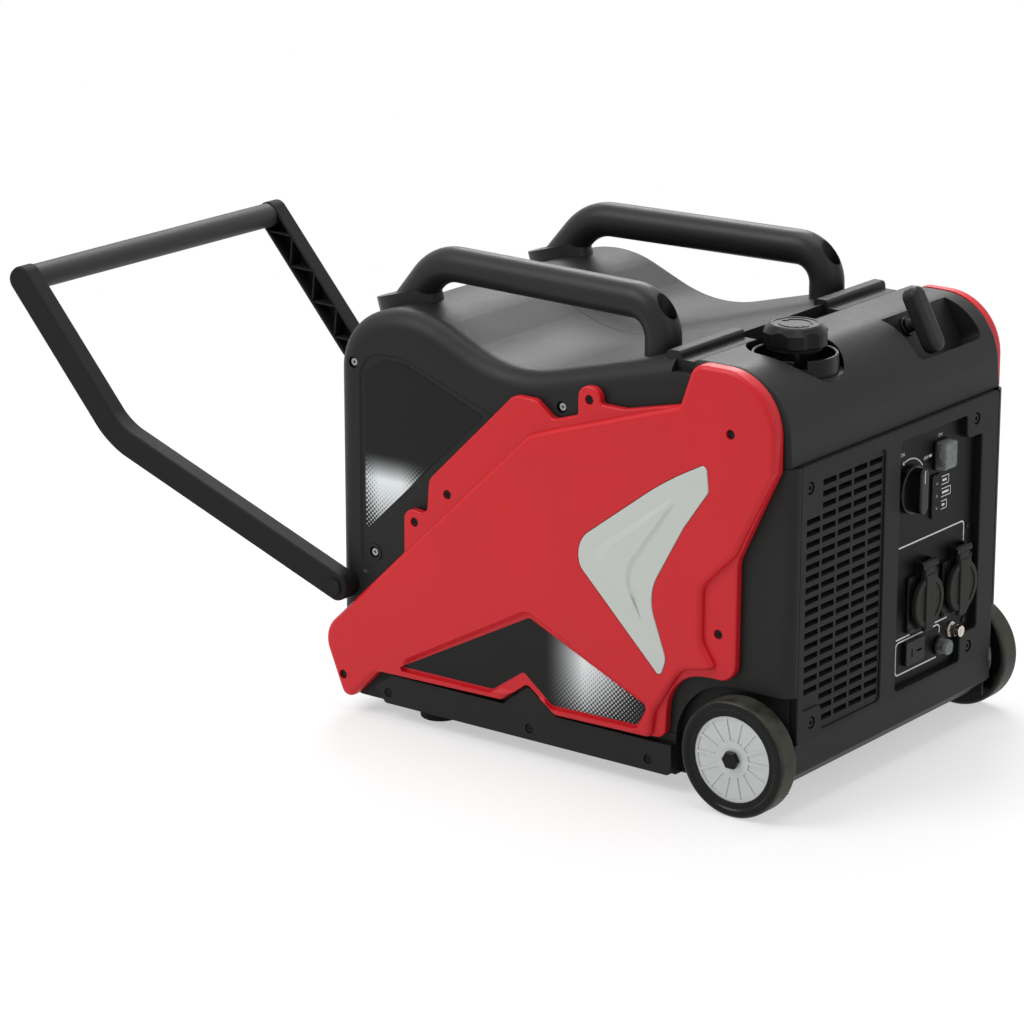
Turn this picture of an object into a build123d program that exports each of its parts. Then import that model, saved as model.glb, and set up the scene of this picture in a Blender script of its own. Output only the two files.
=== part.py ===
from build123d import *
import os
from math import cos, radians, sin, tan

# Portable inverter generator on two wheels, with a fold-out tow handle.
# Millimetres. +Z is up, +X points to the control panel, the object is mirrored about y = 0.
# The origin is on the floor, at the middle of the footprint with the tow handle drawn out.
# In the side views below, x is measured forward from the wheel axle and y is the height.

# Driving dimensions: running gear
WHEEL_R = 60.0
WHEEL_WIDTH = 28.0
WHEEL_FACE = 224.0
HUB_R = 44.0
AXLE_R = 6.0
RUN_GAP = 0.05

# Driving dimensions: casing
WALL = 3.0
CASE_HALF = 196.0
CASE_REAR = -518.0
CASE_FRONT = 50.0
CASE_BOTTOM = 62.0
CASE_EDGE_R = 22.0
SHOULDER_Z = 368.0
SHOULDER_R = 66.0
CROWN_R = 120.0
CROWN_SLOPE = 24.0
SADDLE_R = 154.0
SADDLE_FALL = 23.0
SADDLE_RISE = 14.5
SLOPE_LENGTH = 41.0
LIP_X = -96.0
VALLEY_Z = 430.0
BAR_TOP = 449.0
BAR_ENDS = (75.0, 185.0)
SEAM_GAP = 0.8
BASE_Z = 18.0
RAIL_FACE = 203.5
FOOT = (-410.0, 160.0)
ARCH_REAR = -84.0
ARCH_TOP = 124.0
ARCH_R = 68.0
WELL_Y = 186.0

# Driving dimensions: hood, front and side covers
HOOD_REAR = -70.0
HOOD_TOP = 447.0
HOOD_R = 68.0
HOOD_FRONT = 42.0
HOOD_SEAM = 356.0
PANEL_EDGE = 184.0
PANEL_BOTTOM = 74.0
PLATE_X = 42.0
COVER_BACK = 196.3
COVER_FLANGE = 204.5
COVER_FACE = 211.0

# Driving dimensions: handles
CARRY_R = 18.5
CARRY_AXIS_Z = 481.0
CARRY_FRONT_Y = 147.0
CARRY_REAR_Y = 130.0
CARRY_FRONT_X = -139.0
CARRY_FOOT = (-463.0, 440.0)
CARRY_LEAN = 50.0
TOW_PIVOT = (-505.0, 138.0)
TOW_LOWER = (327.0, 20.0)
TOW_UPPER = (202.0, 48.8)
TOW_HEIGHT = 30.0
TOW_INNER = 197.5
TOW_OUTER = 218.0
TOW_WALL = 3.0
TOW_PIN_R = 5.0
GRIP_R = 14.0

# Driving dimensions: fuel filler and recoil starter
FILLER = (-19.0, -95.0)
CUP_Z = 424.0
CAP_R = 32.5
CAP_BOTTOM = 443.0
CAP_TOP = 471.0
STARTER = (-5.0, 88.0, 432.0)
PULL_RISE = 28.0
PULLEY_R = 55.0
ROPE_R = 2.5
ROPE_RUN = 280.0

# Driving dimensions: controls, as y and z on the control plate
SWITCH = (25.0, 285.0)
ECO = (82.0, 309.0)
DISPLAY = (75.0, 266.0)
SOCKETS = ((52.0, 162.0), (118.0, 162.0))
DC_SOCKET = (39.0, 111.0)
BREAKER = (90.0, 103.0)
EARTH = (114.0, 114.0)

# Places worked out from the driving dimensions
TOW_BEND = (
    TOW_PIVOT[0] - TOW_LOWER[0] * cos(radians(TOW_LOWER[1])),
    TOW_PIVOT[1] + TOW_LOWER[0] * sin(radians(TOW_LOWER[1])),
)
TOW_END = (
    TOW_BEND[0] - TOW_UPPER[0] * cos(radians(TOW_UPPER[1])),
    TOW_BEND[1] + TOW_UPPER[0] * sin(radians(TOW_UPPER[1])),
)
TOW_REACH = TOW_HEIGHT / 2 - TOW_END[0]
AXLE_X = (TOW_REACH - WHEEL_R) / 2


def side(y):
    """Side-view plane at y: local x runs forward from the axle, local y up, and extrusion runs to -Y."""
    return Plane(origin=(AXLE_X, y, 0), x_dir=(1, 0, 0), z_dir=(0, -1, 0))


def front(x):
    """Front-view plane x ahead of the axle: local x is the part's y, local y is up, and extrusion runs to +X."""
    return Plane(origin=(AXLE_X + x, 0, 0), x_dir=(0, 1, 0), z_dir=(1, 0, 0))


def plan(z):
    """Plan plane at height z, with x measured from the axle."""
    return Plane(origin=(AXLE_X, 0, z))


def outline(points):
    """Flat face inside a closed outline through (x, y, radius) corners."""
    with BuildSketch() as flat:
        with BuildLine():
            FilletPolyline(*[(x, y) for x, y, _ in points], radius=[r for _, _, r in points], close=True)
        make_face()
    return flat.sketch


def save(piece, name):
    """Labels a finished piece and writes its STEP file."""
    piece.part.label = name
    export_step(piece.part, f"parts/{name}.step")


def save_pair(piece, name):
    """Writes a left-hand piece and its mirror image."""
    save(piece, f"left_{name}")
    with BuildPart() as twin:
        mirror(piece.part, about=Plane.XZ)
    save(twin, f"right_{name}")


os.makedirs("parts", exist_ok=True)


def wheel_arch(grow=0.0):
    """Side view of the wheel arch: round at the rear and top, open to the front and the floor."""
    with BuildSketch() as flat:
        with BuildLine():
            rise = Line((ARCH_REAR - grow, 0), (ARCH_REAR - grow, ARCH_TOP - ARCH_R))
            turn = JernArc(start=rise @ 1, tangent=(0, 1), radius=ARCH_R + grow, arc_size=-90)
            Polyline(turn @ 1, (WHEEL_R + 4, ARCH_TOP + grow), (WHEEL_R + 4, 0), rise @ 0)
        make_face()
    return flat.sketch


# Clamshell halves of the case: side, half of the saddle-shaped top, half of the rear wall
CASE_SCREWS = ((-494.0, 377.0), (-469.0, 177.0), (-227.0, 373.0))
SCREW_POCKET_R = 6.0
SCREW_POCKET_DEPTH = 5.0
FIELD_DEPTH = 2.0
FIELD_LINE = ((-484, 150, 4), (-484, 389, 28), (-430, 390, 60), (-300, 344, 20), (-300, 325, 4))
BAR_STEP = 8.0


def case_outline():
    """Side outline of the case, from the rear wall over the crown and the saddle to the lip and the hood seam."""
    with BuildSketch() as flat:
        with BuildLine():
            rear = Line((CASE_REAR, CASE_BOTTOM), (CASE_REAR, SHOULDER_Z))
            shoulder = JernArc(
                start=rear @ 1, tangent=(0, 1), radius=SHOULDER_R, arc_size=CROWN_SLOPE - 90
            )
            crown = JernArc(
                start=shoulder @ 1, tangent=shoulder % 1, radius=CROWN_R, arc_size=-CROWN_SLOPE - SADDLE_FALL
            )
            fall = PolarLine(start=crown @ 1, length=SLOPE_LENGTH, direction=crown % 1)
            dip = JernArc(
                start=fall @ 1, tangent=fall % 1, radius=SADDLE_R, arc_size=SADDLE_FALL + SADDLE_RISE
            )
            run = LIP_X - (dip @ 1).X
            rise = Line(dip @ 1, (LIP_X, (dip @ 1).Y + run * tan(radians(SADDLE_RISE))))
            Polyline(
                rise @ 1,
                (LIP_X, VALLEY_Z),
                (HOOD_REAR - SEAM_GAP, VALLEY_Z),
                (HOOD_REAR - SEAM_GAP, HOOD_SEAM - SEAM_GAP),
                (CASE_FRONT, HOOD_SEAM - SEAM_GAP),
                (CASE_FRONT, CASE_BOTTOM),
                rear @ 0,
            )
        make_face()
    return flat.sketch


with BuildPart() as case_block:
    with BuildSketch(side(-SEAM_GAP / 2)):
        add(case_outline())
    extrude(amount=CASE_HALF - SEAM_GAP / 2)
    outer_edges = case_block.edges().group_by(Axis.Y)[0]
    fillet(
        outer_edges.filter_by(lambda e: e.center().X < AXLE_X + LIP_X - 1 and e.center().Z > CASE_BOTTOM + 1),
        CASE_EDGE_R,
    )
    front_corner = case_block.edges().filter_by(Axis.Z).group_by(Axis.X)[-1].sort_by(Axis.Y)[0]
    fillet(front_corner, 12)

with BuildPart() as left_case:
    add(case_block.part)
    hollow = [
        left_case.faces().sort_by(Axis.Y)[-1],
        left_case.faces().sort_by(Axis.Z)[0],
        left_case.faces().filter_by(Axis.Z).filter_by(lambda f: abs(f.center().Z - HOOD_SEAM + SEAM_GAP) < 1)[0],
        left_case.faces().filter_by(Axis.X).filter_by(
            lambda f: abs(f.center().X - AXLE_X - HOOD_REAR + SEAM_GAP) < 1
        )[0],
    ]
    offset(amount=-WALL, openings=hollow)
    with BuildSketch(front(CASE_FRONT)):
        with Locations((-PANEL_EDGE / 2, (CASE_BOTTOM + HOOD_SEAM) / 2)):
            Rectangle(PANEL_EDGE, HOOD_SEAM - CASE_BOTTOM + 2)
    extrude(amount=-2 * WALL, mode=Mode.SUBTRACT)
    with BuildSketch(side(-CASE_HALF)):
        add(wheel_arch())
    extrude(amount=-30, mode=Mode.SUBTRACT)
    # stepped bar beside the hood, at the outer end of the saddle's front edge
    with BuildSketch(side(-BAR_ENDS[0])):
        add(
            outline(
                (
                    (LIP_X - 12, VALLEY_Z, 1),
                    (LIP_X - 12, BAR_TOP, 4),
                    (LIP_X + 4, BAR_TOP, 4),
                    (LIP_X + 5, BAR_TOP - BAR_STEP, 1),
                    (HOOD_REAR - 6, BAR_TOP - BAR_STEP, 3),
                    (HOOD_REAR - 5, VALLEY_Z - 1, 0.5),
                    (LIP_X, VALLEY_Z - 1, 0.5),
                )
            )
        )
    extrude(amount=BAR_ENDS[1] - BAR_ENDS[0])
    # half of the exhaust window in the rear wall
    with BuildSketch(front(CASE_REAR)):
        with Locations((-52, 220)):
            Rectangle(105, 180)
    extrude(amount=2 * WALL, mode=Mode.SUBTRACT)
    # boss that carries the tow-handle pin
    with BuildSketch(side(-CASE_HALF + 16)):
        with Locations(TOW_PIVOT):
            Circle(TOW_PIN_R + 6)
    extrude(amount=16.5)
    with BuildSketch(side(-CASE_HALF - 1)):
        with Locations(TOW_PIVOT):
            Circle(TOW_PIN_R + RUN_GAP)
    extrude(amount=-20, mode=Mode.SUBTRACT)
    # sunk field on the side, bounded by the crown and the side cover
    with BuildSketch(side(-CASE_HALF + FIELD_DEPTH + WALL)):
        add(outline(FIELD_LINE))
    extrude(amount=WALL + 1)
    with BuildSketch(side(-CASE_HALF + FIELD_DEPTH)):
        add(outline(FIELD_LINE))
    extrude(amount=FIELD_DEPTH, taper=-50, mode=Mode.SUBTRACT)
    # screw bosses inside the wall, and the pockets in which the heads sit
    with BuildSketch(side(-CASE_HALF + 1)):
        with Locations(*CASE_SCREWS):
            Circle(SCREW_POCKET_R + WALL)
    extrude(amount=-SCREW_POCKET_DEPTH - WALL)
    with BuildSketch(side(-CASE_HALF)):
        with Locations(*CASE_SCREWS):
            Circle(SCREW_POCKET_R)
    extrude(amount=-SCREW_POCKET_DEPTH, mode=Mode.SUBTRACT)
save_pair(left_case, "case")

# Base tray with a rail along each side and a wheel well at each front corner
RAIL_LINE = (
    (-449, BASE_Z, 3),
    (-463, 34, 4),
    (-440, 50, 3),
    (ARCH_REAR - 1, 50, 1),
    (ARCH_REAR - 1, BASE_Z, 6),
)
RAIL_PEAK = ((-300, 46, 1), (-262, 75, 6), (-223, 46, 1))
BASE_REAR = CASE_REAR + 2
TRAY_FRONT = CASE_FRONT - 2
STUB_IN = 150.0


def tray_outline(inset, rim):
    """Side view of the tray, drawn in by an inset at its ends and floor, up to a rim height."""
    return outline(
        (
            (BASE_REAR + inset, rim, 0.5),
            (BASE_REAR + inset, 44, 8),
            (BASE_REAR + 26, BASE_Z + inset, 12),
            (20, BASE_Z + inset, 12),
            (TRAY_FRONT - inset, 42, 8),
            (TRAY_FRONT - inset, rim, 0.5),
        )
    )


with BuildPart() as base_tray:
    with BuildSketch(side(0)):
        add(tray_outline(0, CASE_BOTTOM - SEAM_GAP))
    extrude(amount=CASE_HALF, both=True)
    with BuildSketch(side(0)):
        add(tray_outline(WALL, CASE_BOTTOM + 1))
    extrude(amount=CASE_HALF - WALL, both=True, mode=Mode.SUBTRACT)
    # upstand below the front panel
    with BuildSketch(front(TRAY_FRONT)):
        with Locations((0, 58)):
            Rectangle(2 * WELL_Y - 6, 2 * (PANEL_BOTTOM - SEAM_GAP - 58))
    extrude(amount=-WALL)
    for sign in (1, -1):
        # side rail
        with BuildSketch(side(-sign * (CASE_HALF - 1))):
            add(outline(RAIL_LINE))
        extrude(amount=sign * (RAIL_FACE - CASE_HALF + 1))
        # peak of the rail in the notch of the side cover
        with BuildSketch(side(-sign * (CASE_HALF + 0.4))):
            add(outline(RAIL_PEAK))
        extrude(amount=sign * (RAIL_FACE - CASE_HALF - 0.4))
        # wheel well: a shallow box with an open outer side
        with BuildSketch(side(-sign * (WELL_Y - WALL))):
            add(wheel_arch(WALL))
            with Locations((WHEEL_R, 80)):
                Rectangle(2 * (WHEEL_R - CASE_FRONT + 8.5), 200, mode=Mode.SUBTRACT)
            with Locations((0, 0)):
                Rectangle(400, 2 * (BASE_Z + 4), mode=Mode.SUBTRACT)
        extrude(amount=sign * (CASE_HALF - WALL - 0.3 - WELL_Y + WALL))
        with BuildSketch(side(-sign * WELL_Y)):
            add(wheel_arch())
        extrude(amount=sign * 30, mode=Mode.SUBTRACT)
        # boss and web that carry the stub axle
        with BuildSketch(side(-sign * (STUB_IN + 4))):
            with Locations((0, WHEEL_R)):
                Circle(AXLE_R + 9)
            with Locations((0, (WHEEL_R + BASE_Z) / 2)):
                Rectangle(2 * AXLE_R + 18, WHEEL_R - BASE_Z)
        extrude(amount=sign * (WELL_Y - WALL - STUB_IN - 4))
        with BuildSketch(side(-sign * STUB_IN)):
            with Locations((0, WHEEL_R)):
                Circle(AXLE_R + RUN_GAP)
        extrude(amount=sign * 60, mode=Mode.SUBTRACT)
        # pockets of the rail screws
        with BuildSketch(side(-sign * RAIL_FACE)):
            with Locations((-445, 30), (-261, 30), (-113, 30)):
                Circle(5)
        extrude(amount=-sign * 3, mode=Mode.SUBTRACT)
save(base_tray, "base_tray")

with BuildPart() as rubber_feet:
    with BuildSketch(plan(0)):
        with Locations(FOOT, (FOOT[0], -FOOT[1])):
            Circle(21)
    extrude(amount=BASE_Z, taper=-4)
    fillet(rubber_feet.edges().group_by(Axis.Z)[0], 2)
save(rubber_feet, "rubber_feet")

# Wheels on stub axles
with BuildPart() as left_tyre:
    with BuildSketch(Plane(origin=(AXLE_X, -WHEEL_FACE, WHEEL_R), x_dir=(0, 1, 0), z_dir=(-1, 0, 0))):
        add(
            outline(
                (
                    (1.5, HUB_R, 0.4),
                    (1.5, 50, 1.5),
                    (0, 52, 1),
                    (0, WHEEL_R, 5),
                    (WHEEL_WIDTH, WHEEL_R, 5),
                    (WHEEL_WIDTH, HUB_R, 0.4),
                )
            )
        )
    revolve(axis=Axis((AXLE_X, 0, WHEEL_R), (0, 1, 0)))
save_pair(left_tyre, "tyre")

with BuildPart() as left_wheel_hub:
    with BuildSketch(side(-(WHEEL_FACE - WHEEL_WIDTH))):
        with Locations((0, WHEEL_R)):
            Circle(HUB_R)
    extrude(amount=WHEEL_WIDTH - 3)
    # dished face with radial ribs round a plain centre
    with BuildSketch(side(-(WHEEL_FACE - 3))):
        with Locations((0, WHEEL_R)):
            Circle(HUB_R - 3)
            Circle(19, mode=Mode.SUBTRACT)
            with PolarLocations(0, 14):
                with Locations((30, 0)):
                    Rectangle(28, 3.2, mode=Mode.SUBTRACT)
    extrude(amount=-1, mode=Mode.SUBTRACT)
    with BuildSketch(side(-(WHEEL_FACE - WHEEL_WIDTH))):
        with Locations((0, WHEEL_R)):
            Circle(HUB_R - 6)
            Circle(16, mode=Mode.SUBTRACT)
    extrude(amount=WHEEL_WIDTH - 10, mode=Mode.SUBTRACT)
    with BuildSketch(side(-150)):
        with Locations((0, WHEEL_R)):
            Circle(AXLE_R + RUN_GAP)
    extrude(amount=100, mode=Mode.SUBTRACT)
save_pair(left_wheel_hub, "wheel_hub")

with BuildPart() as stub_axles:
    for sign in (1, -1):
        with BuildSketch(side(-sign * STUB_IN)):
            with Locations((0, WHEEL_R)):
                Circle(AXLE_R)
        extrude(amount=sign * (WHEEL_FACE - 2 - STUB_IN))
        with BuildSketch(side(-sign * STUB_IN)):
            with Locations((0, WHEEL_R)):
                Circle(AXLE_R + 5)
        extrude(amount=sign * 4)
save(stub_axles, "stub_axles")

with BuildPart() as axle_nuts:
    for sign in (1, -1):
        with BuildSketch(side(-sign * (WHEEL_FACE - 2))):
            with Locations((0, WHEEL_R)):
                RegularPolygon(9.5, 6)
        extrude(amount=sign * 4.5)
    nut_rims = axle_nuts.edges().filter_by(lambda e: abs(abs(e.center().Y) - WHEEL_FACE - 2.5) < 0.1)
    chamfer(nut_rims, 1)
save(axle_nuts, "axle_nuts")

# Front hood over the tank: one moulding with the filler cup and the starter recess
PULL = (cos(radians(PULL_RISE)), sin(radians(PULL_RISE)))
STARTER_PLANE = Plane(
    origin=(AXLE_X + STARTER[0], STARTER[1], STARTER[2]),
    x_dir=(PULL[1], 0, -PULL[0]),
    z_dir=(PULL[0], 0, PULL[1]),
)
PULL_AXIS = Axis(STARTER_PLANE.origin, STARTER_PLANE.z_dir)
CUP_R = 48.0
CUP_FLOOR = 10.0
NECK_R = 21.0

with BuildPart() as hood_block:
    with BuildSketch(side(0)):
        with BuildLine():
            top = Polyline((HOOD_REAR, HOOD_SEAM), (HOOD_REAR, HOOD_TOP), (HOOD_FRONT - HOOD_R, HOOD_TOP))
            nose = JernArc(start=top @ 1, tangent=(1, 0), radius=HOOD_R, arc_size=-90)
            Polyline(nose @ 1, (HOOD_FRONT + 2, HOOD_SEAM), top @ 0)
        make_face()
    extrude(amount=CASE_HALF, both=True)
    fillet(hood_block.edges().filter_by(Axis.Y).sort_by(Axis.Z)[-2:].sort_by(Axis.X)[0], 8)
    for cheek in (hood_block.faces().sort_by(Axis.Y)[0], hood_block.faces().sort_by(Axis.Y)[-1]):
        fillet(cheek.edges().filter_by(lambda e: e.center().Z > HOOD_SEAM + 4), 5)

with BuildPart() as starter_pocket:
    with BuildSketch(STARTER_PLANE.offset(-WALL)):
        with Locations((-11, 23)):
            RectangleRounded(104, 128, 13)
    extrude(amount=90)
    add(hood_block.part, mode=Mode.INTERSECT)

with BuildPart() as front_hood:
    add(hood_block.part)
    offset(amount=-WALL, openings=front_hood.faces().sort_by(Axis.Z)[0])
    with BuildSketch(plan(CUP_Z - CUP_FLOOR)):
        with Locations(FILLER):
            Circle(CUP_R)
    extrude(amount=CUP_FLOOR + 1)
    add(starter_pocket.part)
    with BuildSketch(plan(CUP_Z)):
        with Locations(FILLER):
            Circle(CUP_R)
    extrude(amount=40, mode=Mode.SUBTRACT)
    with BuildSketch(plan(CUP_Z - 40)):
        with Locations(FILLER):
            Circle(NECK_R + 0.5)
    extrude(amount=60, mode=Mode.SUBTRACT)
    with BuildSketch(STARTER_PLANE):
        with Locations((-11, 23)):
            RectangleRounded(98, 122, 10)
    extrude(amount=90, mode=Mode.SUBTRACT)
    with BuildSketch(STARTER_PLANE):
        Circle(6)
    extrude(amount=-3 * WALL, mode=Mode.SUBTRACT)
    # way for the tank under the valley
    with BuildSketch(front(HOOD_REAR - 1)):
        with Locations((0, HOOD_SEAM)):
            Rectangle(2 * CASE_HALF - 16, 2 * (VALLEY_Z - 6 - HOOD_SEAM))
    extrude(amount=2 * WALL, mode=Mode.SUBTRACT)
save(front_hood, "front_hood")

# Fuel filler: drip collar, neck, tank, and a two-piece ratchet cap
COLLAR_R = 44.0
COLLAR_RIM = 5.0
COLLAR_HEIGHT = 14.0
with BuildPart() as drip_collar:
    with BuildSketch(plan(CUP_Z)):
        with Locations(FILLER):
            Circle(COLLAR_R)
            Circle(COLLAR_R - COLLAR_RIM, mode=Mode.SUBTRACT)
    extrude(amount=COLLAR_HEIGHT)
    fillet(drip_collar.edges().group_by(Axis.Z)[-1], 2)
    # spill notch towards the front
    with BuildSketch(plan(CUP_Z + COLLAR_HEIGHT)):
        with Locations((FILLER[0] + COLLAR_R, FILLER[1])):
            Rectangle(4 * COLLAR_RIM, 13)
    extrude(amount=-7, mode=Mode.SUBTRACT)
save(drip_collar, "drip_collar")

NECK_TOP = 445.0
TANK_TOP = 392.0
with BuildPart() as filler_neck:
    with BuildSketch(plan(TANK_TOP - WALL)):
        with Locations(FILLER):
            Circle(NECK_R)
            Circle(NECK_R - WALL, mode=Mode.SUBTRACT)
    extrude(amount=NECK_TOP - TANK_TOP + WALL)
save(filler_neck, "filler_neck")

TANK_BOTTOM = 292.0
TANK_AT = (-88.0, -64.0)
TANK_SIZE = (196.0, 168.0)
TANK_R = 20.0
with BuildPart() as tank_space:
    with BuildSketch(plan(TANK_BOTTOM + WALL)):
        with Locations(TANK_AT):
            RectangleRounded(TANK_SIZE[0] - 2 * WALL, TANK_SIZE[1] - 2 * WALL, TANK_R - WALL)
    extrude(amount=TANK_TOP - TANK_BOTTOM - 2 * WALL)
    fillet(tank_space.faces().filter_by(Axis.Z).edges(), 7)

with BuildPart() as fuel_tank:
    with BuildSketch(plan(TANK_BOTTOM)):
        with Locations(TANK_AT):
            RectangleRounded(*TANK_SIZE, TANK_R)
    extrude(amount=TANK_TOP - TANK_BOTTOM)
    fillet(fuel_tank.faces().filter_by(Axis.Z).edges(), 10)
    # flange round the neck
    with BuildSketch(plan(TANK_TOP - 1)):
        with Locations(FILLER):
            Circle(NECK_R + 7)
    extrude(amount=1 + WALL)
    add(tank_space.part, mode=Mode.SUBTRACT)
    with BuildSketch(plan(TANK_TOP - 2 * WALL)):
        with Locations(FILLER):
            Circle(NECK_R)
    extrude(amount=4 * WALL, mode=Mode.SUBTRACT)
save(fuel_tank, "fuel_tank")

CAP_LOBES = 12
CAP_INNER_R = 28.0
CAP_CROWN = 8.0
with BuildPart() as fuel_cap:
    with BuildSketch(plan(CAP_BOTTOM)):
        with Locations(FILLER):
            Circle(CAP_R)
    extrude(amount=CAP_TOP - CAP_BOTTOM)
    fillet(fuel_cap.edges().group_by(Axis.Z)[-1], 4)
    # finger grooves round the skirt
    with BuildSketch(plan(CAP_BOTTOM)):
        with Locations(FILLER):
            with PolarLocations(CAP_R + 3.4, CAP_LOBES):
                Circle(6)
    extrude(amount=CAP_TOP - CAP_BOTTOM - CAP_CROWN, mode=Mode.SUBTRACT)
    # dished top
    with BuildSketch(plan(CAP_TOP)):
        with Locations(FILLER):
            Circle(CAP_R - 9)
    extrude(amount=-1.2, mode=Mode.SUBTRACT)
    with BuildSketch(plan(CAP_BOTTOM - 1)):
        with Locations(FILLER):
            Circle(CAP_INNER_R)
    extrude(amount=22, mode=Mode.SUBTRACT)
save(fuel_cap, "fuel_cap")

with BuildPart() as cap_insert:
    with BuildSketch(plan(NECK_TOP + 1)):
        with Locations(FILLER):
            Circle(CAP_INNER_R - 0.6)
    extrude(amount=16)
    with BuildSketch(plan(NECK_TOP + 1)):
        with Locations(FILLER):
            Circle(NECK_R - WALL - 0.5)
    extrude(amount=-14)
save(cap_insert, "cap_insert")

# Recoil starter: grip, guide, rope, pulley and housing
GRIP_GAP = 13.0
with BuildPart() as recoil_grip:
    with BuildSketch(STARTER_PLANE.offset(GRIP_GAP)):
        SlotOverall(70, 22)
    extrude(amount=19)
    fillet(recoil_grip.faces().sort_by(PULL_AXIS)[0].edges(), 5)
    fillet(recoil_grip.faces().sort_by(PULL_AXIS)[-1].edges(), 6)
    with BuildSketch(STARTER_PLANE.offset(4)):
        Circle(7)
    extrude(amount=GRIP_GAP)
save(recoil_grip, "recoil_grip")

with BuildPart() as rope_guide:
    with BuildSketch(STARTER_PLANE):
        Circle(10)
    extrude(amount=3)
    with BuildSketch(STARTER_PLANE):
        Circle(5.9)
    extrude(amount=-5)
    fillet(rope_guide.edges().sort_by(PULL_AXIS)[-1], 1.5)
    with BuildSketch(STARTER_PLANE.offset(10)):
        Circle(ROPE_R + 1)
    extrude(amount=-30, mode=Mode.SUBTRACT)
save(rope_guide, "rope_guide")

with BuildPart() as starter_rope:
    with BuildSketch(STARTER_PLANE.offset(-ROPE_RUN)):
        Circle(ROPE_R)
    extrude(amount=ROPE_RUN + 4)
save(starter_rope, "starter_rope")

CRANK = (
    STARTER[0] - ROPE_RUN * PULL[0] + (PULLEY_R + ROPE_R + 0.4) * PULL[1],
    STARTER[2] - ROPE_RUN * PULL[1] - (PULLEY_R + ROPE_R + 0.4) * PULL[0],
)
CRANK_AXIS = Axis((AXLE_X + CRANK[0], 0, CRANK[1]), (0, 1, 0))
with BuildPart() as recoil_pulley:
    with BuildSketch(side(STARTER[1] - 6)):
        with Locations(CRANK):
            Circle(PULLEY_R)
            Circle(10.05, mode=Mode.SUBTRACT)
    extrude(amount=-12)
    for start in (STARTER[1] - 8, STARTER[1] + 6):
        with BuildSketch(side(start)):
            with Locations(CRANK):
                Circle(PULLEY_R + 9)
                Circle(10.05, mode=Mode.SUBTRACT)
        extrude(amount=-2)
save(recoil_pulley, "recoil_pulley")

with BuildPart() as recoil_housing:
    with BuildSketch(side(STARTER[1] + 10)):
        with Locations(CRANK):
            Circle(80)
    extrude(amount=-16)
    fillet(recoil_housing.edges().group_by(Axis.Y)[-1], 8)
    with BuildSketch(side(STARTER[1] + 10)):
        with Locations(CRANK):
            Circle(76)
    extrude(amount=-13, mode=Mode.SUBTRACT)
    with BuildSketch(side(STARTER[1] - 8)):
        with Locations(CRANK):
            Circle(10)
    extrude(amount=-32)
save(recoil_housing, "recoil_housing")

# Red side covers: a flange with screw tabs, a raised body, a label recess and a pocket for the accent
COVER_FOOT = ((-498, 10, 10), (-529, 84, 30))
COVER_HORN = (
    (-76, 402, 8),
    (-60, HOOD_TOP, 18),
    (36, HOOD_TOP, 62),
    (36, 352, 10),
)
COVER_SILL = ((-226, 53, 8), (-262, 79, 7), (-294, 55, 8), (-455, 52, 8))
COVER_FLANGE_LINE = COVER_FOOT + (
    (-422, 188, 4),
    (-422, 237, 12),
    (-392, 234, 8),
    (-389, 272, 16),
    (-281, 378, 14),
    (-254, 378, 14),
    (-232, 361, 8),
    (-201, 371, 4),
    (-201, 402, 12),
    (-174, 402, 12),
    (-174, 386, 4),
    (-145, 386, 3),
) + COVER_HORN + (
    (-9, 256, 30),
    (-10, 130, 18),
    (-38, 131, 12),
    (-88, 126, 44),
    (-92, 56, 12),
) + COVER_SILL
COVER_BODY_LINE = COVER_FOOT + ((-258, 343, 34),) + COVER_HORN + (
    (-9, 262, 20),
    (-47, 224, 20),
    (-47, 168, 18),
    (-29, 142, 5),
    (-70, 134, 22),
    (-102, 84, 16),
    (-106, 55, 8),
) + COVER_SILL
LABEL_LINE = (
    (-432, 60, 3),
    (-259, 154, 14),
    (-108, 86, 8),
    (-122, 62, 6),
    (-229, 60, 5),
    (-266, 87, 6),
    (-306, 61, 5),
)
ACCENT_LINE = (
    (-42, 350, 5),
    (-90, 325, 400),
    (-197, 245, 30),
    (-193, 219, 18),
    (-94, 122, 4),
    (-87, 142, 16),
    (-110, 205, 52),
    (-68, 281, 30),
    (-39, 322, 8),
)
BLADE_FOOT = ((-64, 324, 4), (-182, 238, 12), (-101, 146, 4), (-136, 216, 40))
BLADE_CREST = ((-80, 306, 2), (-166, 236, 8), (-110, 172, 2), (-142, 220, 34))
BLADE_HEIGHT = 3.0
COVER_SCREWS = ((-408.0, 223.0), (-365.0, 260.0), (-187.0, 389.0), (-30.0, 178.0))
COVER_FACE_SCREWS = ((-15.0, 384.0), (-500.0, 41.0))
LABEL_DEPTH = 5.0
SHOULDER_SOFT = 6.0
ACCENT_DEPTH = 5.0

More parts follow.
